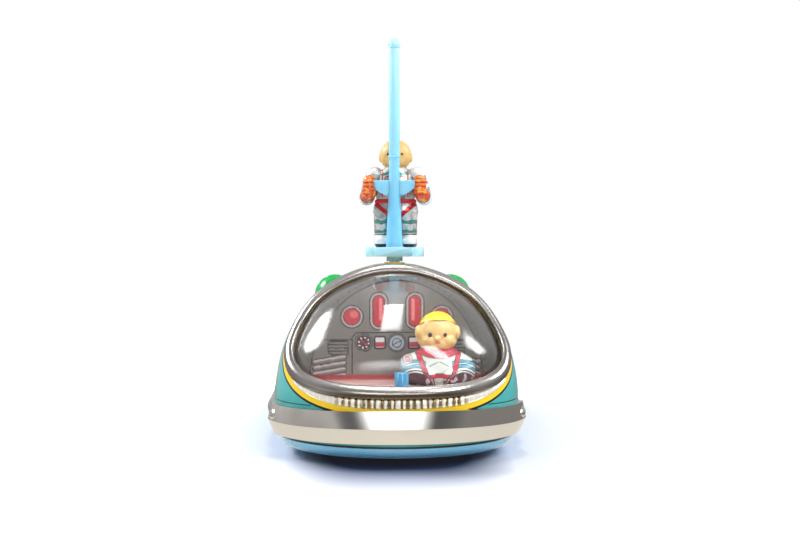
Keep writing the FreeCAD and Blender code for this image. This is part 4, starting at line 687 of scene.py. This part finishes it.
def floor_paper():
    """White paper that keeps the boat's rendered shadow near it and adds a painted shadow and a bluish painted
    penumbra, and shows plated pieces a painted reflection of a darker room around it.
    """
    paint = Paint("studio paper")
    x, y, _ = paint.axes()
    camera_ray, glossy, through = paint.node("ShaderNodeLightPath",
                                             out=("Is Camera Ray", "Is Glossy Ray", "Is Transmission Ray"))
    from_middle = y + 0.01
    # Painted shadow: a bluish penumbra round the boat, and a dark blue patch beneath it, on top of the shadow the
    # lamps cast.
    painted_penumbra = oval(x, from_middle, 0.098, 0.205).below(1.0, 0.30)
    beneath = oval(x, y + 0.022, 0.056, 0.170, 4.0).below(1.0, 0.40)
    near = paint.mix(painted_penumbra, (0.80, 0.81, 0.83), (0.68, 0.73, 0.86))
    paint.set(Base_Color=paint.mix(beneath, near, (0.010, 0.026, 0.08)), Roughness=0.85, Specular_IOR_Level=0.05)

    # Painted reflection for plated pieces: a darker room, patchy to the left, warmer and brighter close to the boat,
    # with a painted shadow under the hull.
    leftward = (0.1 - x * 1.5).over(0.0).under(1.0)
    tone = paint.mix(leftward * paint.noise(7.0, 2.0).above(0.35, 0.4), (0.25, 0.235, 0.225), (0.66, 0.63, 0.62))
    close = oval(x, from_middle, 0.125, 0.200).below(1.0, 0.16)
    reflected_hull_shadow = oval(x, from_middle, 0.067, 0.158, 4.0).below(0.96, 0.08)
    for mask, shade in ((close, (0.84, 0.79, 0.70)), (abs(x).below(0.045, 0.09) * close, (0.93, 0.87, 0.76)),
                        (reflected_hull_shadow, (0.10, 0.13, 0.20))):
        tone = paint.mix(mask, tone, shade)
    white = (1.0, 1.0, 1.0)
    lift = paint.node("ShaderNodeEmission", None, Color=paint.mix(glossy, white, tone), Strength=1.0)
    far = span(x, y).above(0.37, 0.20)
    share = (camera_ray.over(through) * (far * 0.99 + 0.01)).over(glossy)
    both = paint.node("ShaderNodeMixShader", None, share, paint.shaded, lift)
    from_below = paint.node("ShaderNodeNewGeometry", out="Backfacing")
    paint.show(paint.node("ShaderNodeMixShader", None, from_below, both, paint.node("ShaderNodeBsdfTransparent")))
    return paint


# ---------------------------------------------------------------- operators

def softbox(name, where, wide, tall, watts, fade):
    """Area lamp on the boat that fades toward its edges, as light through a diffuser does."""
    lamp = bpy.data.lights.new(name, "AREA")
    lamp.shape = "RECTANGLE"
    lamp.size, lamp.size_y = wide, tall
    lamp.energy = watts
    lamp.use_nodes = True
    glow = Nodes(lamp.node_tree)
    across, along, _ = glow.split(glow.node("ShaderNodeNewGeometry", out="Parametric"))
    falling = ((across * math.pi).sine() * (along * math.pi).sine()) ** fade
    # The faster it fades the brighter its middle, so that it gives about the same watts.
    middle_gain = 2.47 * fade ** 0.64
    glow.feed(glow.tree.nodes["Emission"], {"Strength": falling * middle_gain})
    thing = bpy.data.objects.new(name, lamp)
    thing.location = where
    toy = Vector((0, -0.13, 0.07))
    thing.rotation_euler = (toy - Vector(where)).to_track_quat("-Z", "Y").to_euler()
    bpy.context.scene.collection.objects.link(thing)


class BOAT_OT_stage(bpy.types.Operator):
    """Set up the floor, the room, the lamps and the camera"""
    bl_idname = "boat.stage"
    bl_label = "Stage"

    def execute(self, context):
        scene = context.scene
        scene.view_settings.view_transform = "Standard"

        floor = bmesh.new()
        bmesh.ops.create_grid(floor, x_segments=2, y_segments=2, size=6.0)
        data = bpy.data.meshes.new("studio_floor")
        floor.to_mesh(data)
        floor.free()
        data.materials.append(floor_paper().material)
        ground = bpy.data.objects.new("studio_floor", data)
        scene.collection.objects.link(ground)

        world = bpy.data.worlds.new("studio room")
        scene.world = world
        world.use_nodes = True
        room = Nodes(world.node_tree)
        camera_ray, through = room.node("ShaderNodeLightPath", out=("Is Camera Ray", "Is Transmission Ray"))
        _, ahead, _ = room.split(room.node("ShaderNodeTexCoord", out="Generated"))
        dim = room.node("ShaderNodeMapRange", None, Value=ahead, From_Min=-0.95, From_Max=-0.35,
                        To_Min=0.10, To_Max=0.46)
        seen = camera_ray.over(through)
        strength = room.node("ShaderNodeMix", None, seen, numbered=dict(zip(MIX_NUMBERS, (dim, 1.0))))
        room.feed(room.tree.nodes["Background"], {"Color": (1.0, 1.0, 1.0), "Strength": strength})

        for name, where, wide, tall, watts, fade in (
                ("left box", (-0.76, 0.20, 0.68), 0.60, 0.54, 8.0, 2.0),
                ("left core", (-0.68, 0.28, 0.70), 0.26, 0.34, 1.5, 1.0),
                ("right box", (0.79, -0.10, 0.68), 0.46, 0.56, 4.8, 2.0),
                ("right core", (0.76, -0.06, 0.74), 0.18, 0.32, 0.8, 1.0),
                ("overhead", (-0.01, -0.23, 1.05), 0.17, 0.44, 3.6, 0.25),
                ("front window", (0.36, -0.80, 0.70), 0.21, 0.54, 4.6, 0.25),
                ("front card", (-0.06, -1.25, 0.30), 0.95, 0.42, 2.1, 1.6)):
            softbox(name, where, wide, tall, watts, fade)

        camera = bpy.data.cameras.new("camera")
        camera.sensor_width, camera.lens = 36.0, 49.4
        view = bpy.data.objects.new("camera", camera)
        view.location = (-0.032, -0.7595, 0.1177)
        view.rotation_euler = (math.radians(90 - 0.731), 0, math.radians(-2.963))
        scene.collection.objects.link(view)
        scene.camera = view
        return {"FINISHED"}


class BOAT_OT_hull(bpy.types.Operator):
    """Print the hull and enamel the pan"""
    bl_idname = "boat.hull"
    bl_label = "Hull and pan"

    def execute(self, context):
        smoothed(hull_print(), 30, "hull_shell")
        smoothed(pan_enamel(), 30, "bottom_pan")
        coat(Print("transom enamel", tint("hull")), "transom_plate")
        coat(Print("door enamel", tint("pan")), "battery_door")
        return {"FINISHED"}


def bumper_form():
    """The bumper with its two front faces laid anew between the ovals they are drawn from."""
    # Height of each oval, half its width and its reach forward in millimetres, and its power.
    levels = ((13.3, 74.5, 62.6, 2.15), (21.9, 78.0, 64.0, 2.3), (31.6, 75.6, 62.4, 2.5))
    middle_y, steps = -96.0, 120
    # The faces end where the crease has run back to this far before the middle.
    arm_start = 18.0
    _, _, crease_front, crease_power = levels[1]
    last = math.acos((arm_start / crease_front) ** (crease_power / 2))
    skins = bmesh.new()
    for lower, upper in zip(levels, levels[1:]):
        rows = []
        for height, half, front, power in (lower, upper):
            row = []
            for step in range(-steps, steps + 1):
                turn = last * (step / steps)
                x = math.copysign(abs(math.sin(turn)) ** (2 / power), turn) * half
                y = middle_y - front * math.cos(turn) ** (2 / power)
                row.append(skins.verts.new(Vector((x, y, height)) * MM))
            rows.append(row)
        below, above = rows
        for left, right, over_left, over_right in zip(below, below[1:], above, above[1:]):
            skins.faces.new((left, right, over_right, over_left))
    skins.normal_update()
    tree = BVHTree.FromBMesh(skins)
    form = merged("bumper")
    covered = []
    for face in form.faces:
        _, normal, _, gap = tree.find_nearest(face.calc_center_median())
        if gap < 0.4 * MM and normal.dot(face.normal) > 0.9:
            covered.append(face)
    bmesh.ops.delete(form, geom=covered, context="FACES")
    data = bpy.data.meshes.new("bumper_front")
    skins.to_mesh(data)
    skins.free()
    form.from_mesh(data)
    bpy.data.meshes.remove(data)
    return form


class BOAT_OT_chrome(bpy.types.Operator):
    """Plate the bumper, the bezel, the pods and the nozzles"""
    bl_idname = "boat.chrome"
    bl_label = "Plated pieces"

    def execute(self, context):
        bright = chrome("bumper chrome", (0.82, 0.80, 0.76))
        piece("bumper_plating", bumper_form(), "hull", bright, 12, ("bumper",))
        smoothed(bright, 40, "bumper_bullets")
        smoothed(bezel_chrome(), 40, "canopy_bezel")
        smoothed(chrome("pod plating", (0.75, 0.76, 0.77), 0.14), 40,
                 "side_pod_left", "side_pod_right", "exhaust_nozzle_left", "exhaust_nozzle_right")
        return {"FINISHED"}


def on_hull(tree, x, reach):
    """Place and normal on the bow, at a distance from the axis of the cockpit's edge."""
    def cast(z):
        return tree.ray_cast(Vector((x, -0.3, z)), Vector((0, 1, 0)))[:2]

    low, high = 22 * MM, 70 * MM
    for _ in range(18):
        z = (low + high) / 2
        place, _ = cast(z)
        on_bow = place is not None and place.y <= -100 * MM
        if on_bow and math.hypot(place.y - RIM_Y, place.z - RIM_Z) > reach:
            low = z
        else:
            high = z
    return cast(low)


class BOAT_OT_crimps(bpy.types.Operator):
    """Lay the crimped flange under the cockpit's edge"""
    bl_idname = "boat.crimps"
    bl_label = "Crimped flange"

    def execute(self, context):
        tree = BVHTree.FromBMesh(merged("hull_shell"))
        pitch = sizes().crimp_pitch
        half, crimped = 60 * MM, 39 * MM
        strip = bmesh.new()
        bmesh.ops.create_grid(strip, x_segments=int(2 * half / pitch) * 12, y_segments=7, size=1.0)
        for vert in strip.verts:
            x, share = math.sin(vert.co.x * math.pi / 2) * half, (vert.co.y + 1) / 2
            width = 4.3 - 3.6 * (x / half) ** 4
            place, normal = on_hull(tree, x, (107.6 + width * share) * MM)
            wave = abs(math.sin(math.pi * x / pitch + 0.8 * math.sin(x / pitch * 0.9)))
            swell = math.sin(math.pi * min(max(share, 0.02), 0.98)) ** 0.4
            taper = min(1.0, max(0.0, (crimped - abs(x)) / (6 * MM)))
            clearance, height = 0.12, 0.55 - 0.35 * taper + 1.1 * wave * taper
            vert.co = place + normal * (clearance + swell * height) * MM
        bmesh.ops.recalc_face_normals(strip, faces=strip.faces)
        walled(piece("gilt_crimps", strip, "hull", crimp_plate(pitch, crimped), 60), 0.25 * MM)
        return {"FINISHED"}


class BOAT_OT_canopy(bpy.types.Operator):
    """Fit the clear bubble"""
    bl_idname = "boat.canopy"
    bl_label = "Bubble"

    def execute(self, context):
        smoothed(clear("bubble plastic", (0.955, 0.965, 0.975), 0.04), 60, "canopy_bubble")
        return {"FINISHED"}


class BOAT_OT_cockpit(bpy.types.Operator):
    """Print the instrument wall and the floor"""
    bl_idname = "boat.cockpit"
    bl_label = "Cockpit print"

    def execute(self, context):
        coat(wall_print(), "instrument_wall")
        coat(floor_print(), "cockpit_floor")
        blue = plastic("console plastic", ink(96, 184, 226), 0.12, 0.4)
        smoothed(blue.set(Transmission_Weight=0.45), 40, "side_console")
        return {"FINISHED"}


class BOAT_OT_pilot(bpy.types.Operator):
    """Seat the pilot: printed suit, doll face, cap and ear pads"""
    bl_idname = "boat.pilot"
    bl_label = "Pilot"

    def execute(self, context):
        padded = merged("pilot_body")
        shoulder, spread = 58.0 * MM, 4.6 * MM
        for vert in padded.verts:
            swell = math.exp(-((vert.co.z - shoulder) / spread) ** 2)
            vert.co.x += ((vert.co.x - PILOT.x) * 0.28 - 0.8 * MM) * swell
        piece("pilot_suit", padded, "hull", pilot_print(), 50, ("pilot_body",))

        def spot(x, y, z):
            return PILOT + Vector((x, y, z)) * MM

        head = bmesh.new()
        ellipsoid(head, spot(0, 0, 0), (10.9, 10.6, 11.2))
        ellipsoid(head, spot(0, -5.2, -6.0), (7.6, 5.2, 4.8))
        for side in (-1, 1):
            ellipsoid(head, spot(side * 4.6, -5.4, -4.4), (4.6, 4.8, 4.2))
            ellipsoid(head, spot(side * 3.8, -6.0, 2.2), (3.6, 3.2, 2.6))
            ellipsoid(head, spot(side * 11.0, 0.6, -0.4), (2.4, 4.6, 4.2))
        ellipsoid(head, spot(-0.2, 0.8, -5.0), (11.6, 8.8, 7.0))
        ellipsoid(head, spot(-0.9, -11.0, -3.3), (1.9, 1.4, 1.4))
        hood = ring(head, 9.6, 1.3)
        at(head, hood, (0, 0, 0), Matrix.Rotation(math.pi / 2, 3, "X"))
        bmesh.ops.scale(head, vec=(0.94, 1, 1.0), verts=hood)
        bmesh.ops.translate(head, vec=spot(-0.4, -6.0, -1.2), verts=hood)
        skin = plastic("head plastic", tint("skin"), 0.35, 0.25)
        face = piece("pilot_face", head, "hull", skin, 60, ("pilot_head",))
        melted(face, 0.4 * MM)
        soften = face.modifiers.new("Soften", "SMOOTH")
        soften.factor, soften.iterations = 0.5, 5

        cap = bmesh.new()
        ellipsoid(cap, spot(0, 0, 0.4), (11.5, 11.2, 11.5), None, 28)
        cut_away(cap, spot(0, 0, 4.3), (0, 0.353, 1))
        rim = [edge for edge in cap.edges if edge.is_boundary]
        lip = bmesh.ops.extrude_edge_only(cap, edges=rim)["geom"]
        lip_verts = [item for item in lip if isinstance(item, bmesh.types.BMVert)]
        bmesh.ops.scale(cap, vec=(0.93, 0.93, 1), verts=lip_verts, space=Matrix.Translation(-spot(0, 0, 0)))
        piece("pilot_cap", cap, "hull", plastic("cap plastic", ink(238, 188, 0), 0.3, 0.1), 50)

        eyes = bmesh.new()
        for side in (-1, 1):
            ellipsoid(eyes, spot(side * 4.3 - 0.9, -9.6, -1.2), (1.25, 0.9, 1.35))
        piece("pilot_eyes", eyes, "hull", plastic("eye paint", ink(46, 38, 40), 0.12, 0, 0), 60)
        lips = bmesh.new()
        ellipsoid(lips, spot(-0.9, -10.75, -5.7), (1.8, 0.5, 0.5))
        piece("pilot_mouth", lips, "hull", plastic("mouth paint", ink(214, 72, 74), 0.3, 0, 0), 60)
        collar = bmesh.new()
        at(collar, ring(collar, 7.6, 1.3), (PILOT.x, PILOT.y, 62.6 * MM))
        piece("pilot_collar", collar, "hull", plastic("collar paint", ink(196, 40, 48), 0.3, 0, 0), 60)
        return {"FINISHED"}


class BOAT_OT_lamps(bpy.types.Operator):
    """Mould the ribbed green domes and dress their bulbs"""
    bl_idname = "boat.lamps"
    bl_label = "Roof lamps"

    def execute(self, context):
        green = plastic("dome plastic", tint("lamp"), 0.1, 0.5).set(Transmission_Weight=0.35)
        ribs, groove = sizes().rib_count, 0.985
        for side, word in ((-1, "left"), (1, "right")):
            dome = bmesh.new()
            bmesh.ops.create_uvsphere(dome, u_segments=2 * ribs, v_segments=28, radius=13.0 * MM)
            for vert in dome.verts:
                turn_share = math.atan2(vert.co.y, vert.co.x) / (2 * math.pi) * ribs
                if round(turn_share * 2) % 2:
                    vert.co *= groove
            cut_away(dome, (0, 0, -0.5 * MM), (0, 0, 1))
            lean = Matrix.Rotation(side * math.radians(38), 3, "Y")
            at(dome, dome.verts, Vector((side * 37.1, -52.0, 92.3)) * MM, lean)
            shell = piece("dome_" + word, dome, "hull", green, 50, ("lamp_lens_" + word,))
            walled(shell, 1.1 * MM)
        coat(plastic("cup plastic", ink(214, 214, 208)), "lamp_cups")
        coat(clear("bulb glass", (0.98, 0.96, 0.9)), "lamp_bulb_left", "lamp_bulb_right")
        return {"FINISHED"}


class BOAT_OT_mast(bpy.types.Operator):
    """Mould the mast, its handle and the platform"""
    bl_idname = "boat.mast"
    bl_label = "Mast and platform"

    def execute(self, context):
        smoothed(mast_plastic(), 35, "mast", "wing_handle", "figure_platform")
        coat(plastic("collar plastic", ink(238, 200, 40), 0.3), "roof_collar")
        return {"FINISHED"}


class BOAT_OT_crew(bpy.types.Operator):
    """Stand the astronaut behind the mast"""
    bl_idname = "boat.crew"
    bl_label = "Astronaut"

    def execute(self, context):
        smoothed(crew_print(), 50, "figure_body")
        smoothed(arm_print(), 50, "figure_arm_left", "figure_arm_right")
        turn = Matrix.Rotation(CREW_TURN, 3, "Z")

        def spot(x, y, z):
            return CREW + turn @ (Vector((x, y, z)) * MM)

        head = bmesh.new()
        ellipsoid(head, spot(0, 11.5, 180.6), (10.0, 10.0, 10.0))
        ellipsoid(head, spot(0, 6.2, 177.2), (6.0, 5.0, 4.8), turn)
        ellipsoid(head, spot(0, 1.4, 178.6), (1.3, 1.1, 1.1), turn)
        for side in (-1, 1):
            ellipsoid(head, spot(side * 9.5, 12.5, 179.4), (1.2, 2.8, 3.0), turn)
        skin = plastic("crew skin", tint("skin"), 0.35, 0.25)
        melted(piece("crew_face", head, "carriage", skin, 60, ("figure_head",)), 0.45 * MM)
        eyes = bmesh.new()
        for side in (-1, 1):
            ellipsoid(eyes, spot(side * 4.3, 2.9, 180.8), (0.9, 0.7, 0.8), turn, 10)
        dark = plastic("crew eye paint", ink(34, 30, 34), 0.15, 0, 0)
        piece("crew_eyes", eyes, "carriage", dark, 60)

        straps = bmesh.new()
        belt = ring(straps, 12.4, 0.9, 10, 1.5)
        bmesh.ops.scale(straps, vec=(1, 0.63, 1), verts=belt)
        at(straps, belt, spot(0, 11.2, 151.5), turn)
        piece("crew_belt", straps, "carriage", plastic("belt paint", ink(196, 36, 40), 0.3, 0, 0.1), 60)

        fingers = bmesh.new()
        for side in (-1, 1):
            for step in range(4):
                ellipsoid(fingers, spot(side * 15.6, -0.5, 156.4 + 2.4 * step), (4.45, 4.6, 1.5), turn, 12)
        piece("crew_fingers", fingers, "carriage", glove_print(), 60)
        return {"FINISHED"}


class BOAT_OT_works(bpy.types.Operator):
    """Finish the drive, the wheels, the batteries and what is beneath"""
    bl_idname = "boat.works"
    bl_label = "Works and underside"

    def execute(self, context):
        coat(chrome("bare tin", (0.62, 0.61, 0.58), 0.22),
             "carriage_frame", "carriage_bridge", "battery_box", "rear_axle_bracket", "screw_bosses")
        coat(chrome("steel", (0.56, 0.56, 0.56), 0.18),
             "drive_axle", "rear_axle", "swivel_shaft", "drive_motor", "door_hinge_pin", "case_screws")
        coat(chrome("brass", (0.78, 0.58, 0.26), 0.16),
             "slip_ring", "contact_brushes", "battery_contacts", "motor_pinion")
        coat(plastic("nylon", ink(226, 224, 214), 0.4, 0.1), "axle_gear", "cluster_gear", "thrust_washer")
        coat(plastic("black plastic", ink(26, 26, 28), 0.4), "drive_wheel_left", "drive_wheel_right",
             "rear_wheel_left", "rear_wheel_right", "power_switch", "switch_housing")
        smoothed(plastic("rubber", ink(22, 22, 22), 0.7, 0, 0.1), 30,
                 "drive_tyre_left", "drive_tyre_right", "rear_tyre_left", "rear_tyre_right")
        coat(Print("cell jacket", ink(150, 152, 156)), "battery_left", "battery_right")
        return {"FINISHED"}


class BOAT_PT_panel(bpy.types.Panel):
    bl_idname = "BOAT_PT_panel"
    bl_label = "Tin space boat"
    bl_space_type = "VIEW_3D"
    bl_region_type = "UI"
    bl_category = TAB

    def draw(self, context):
        for group in (colours(), sizes()):
            box = self.layout.box()
            for name in group.__annotations__:
                box.prop(group, name)
        for maker in MAKERS:
            self.layout.operator(maker.bl_idname)


MAKERS = (BOAT_OT_stage, BOAT_OT_hull, BOAT_OT_chrome, BOAT_OT_crimps, BOAT_OT_canopy, BOAT_OT_cockpit, BOAT_OT_pilot,
          BOAT_OT_lamps, BOAT_OT_mast, BOAT_OT_crew, BOAT_OT_works)
CLASSES = (BoatColours, BoatSizes) + MAKERS + (BOAT_PT_panel,)


def register():
    for cls in CLASSES:
        bpy.utils.register_class(cls)
    bpy.types.Scene.boat_colours = PointerProperty(type=BoatColours)
    bpy.types.Scene.boat_sizes = PointerProperty(type=BoatSizes)


def unregister():
    del bpy.types.Scene.boat_sizes
    del bpy.types.Scene.boat_colours
    for cls in reversed(CLASSES):
        bpy.utils.unregister_class(cls)


def main():
    register()
    for maker in MAKERS:
        group, name = maker.bl_idname.split(".")
        getattr(getattr(bpy.ops, group), name)()


if __name__ == "__main__":
    main()
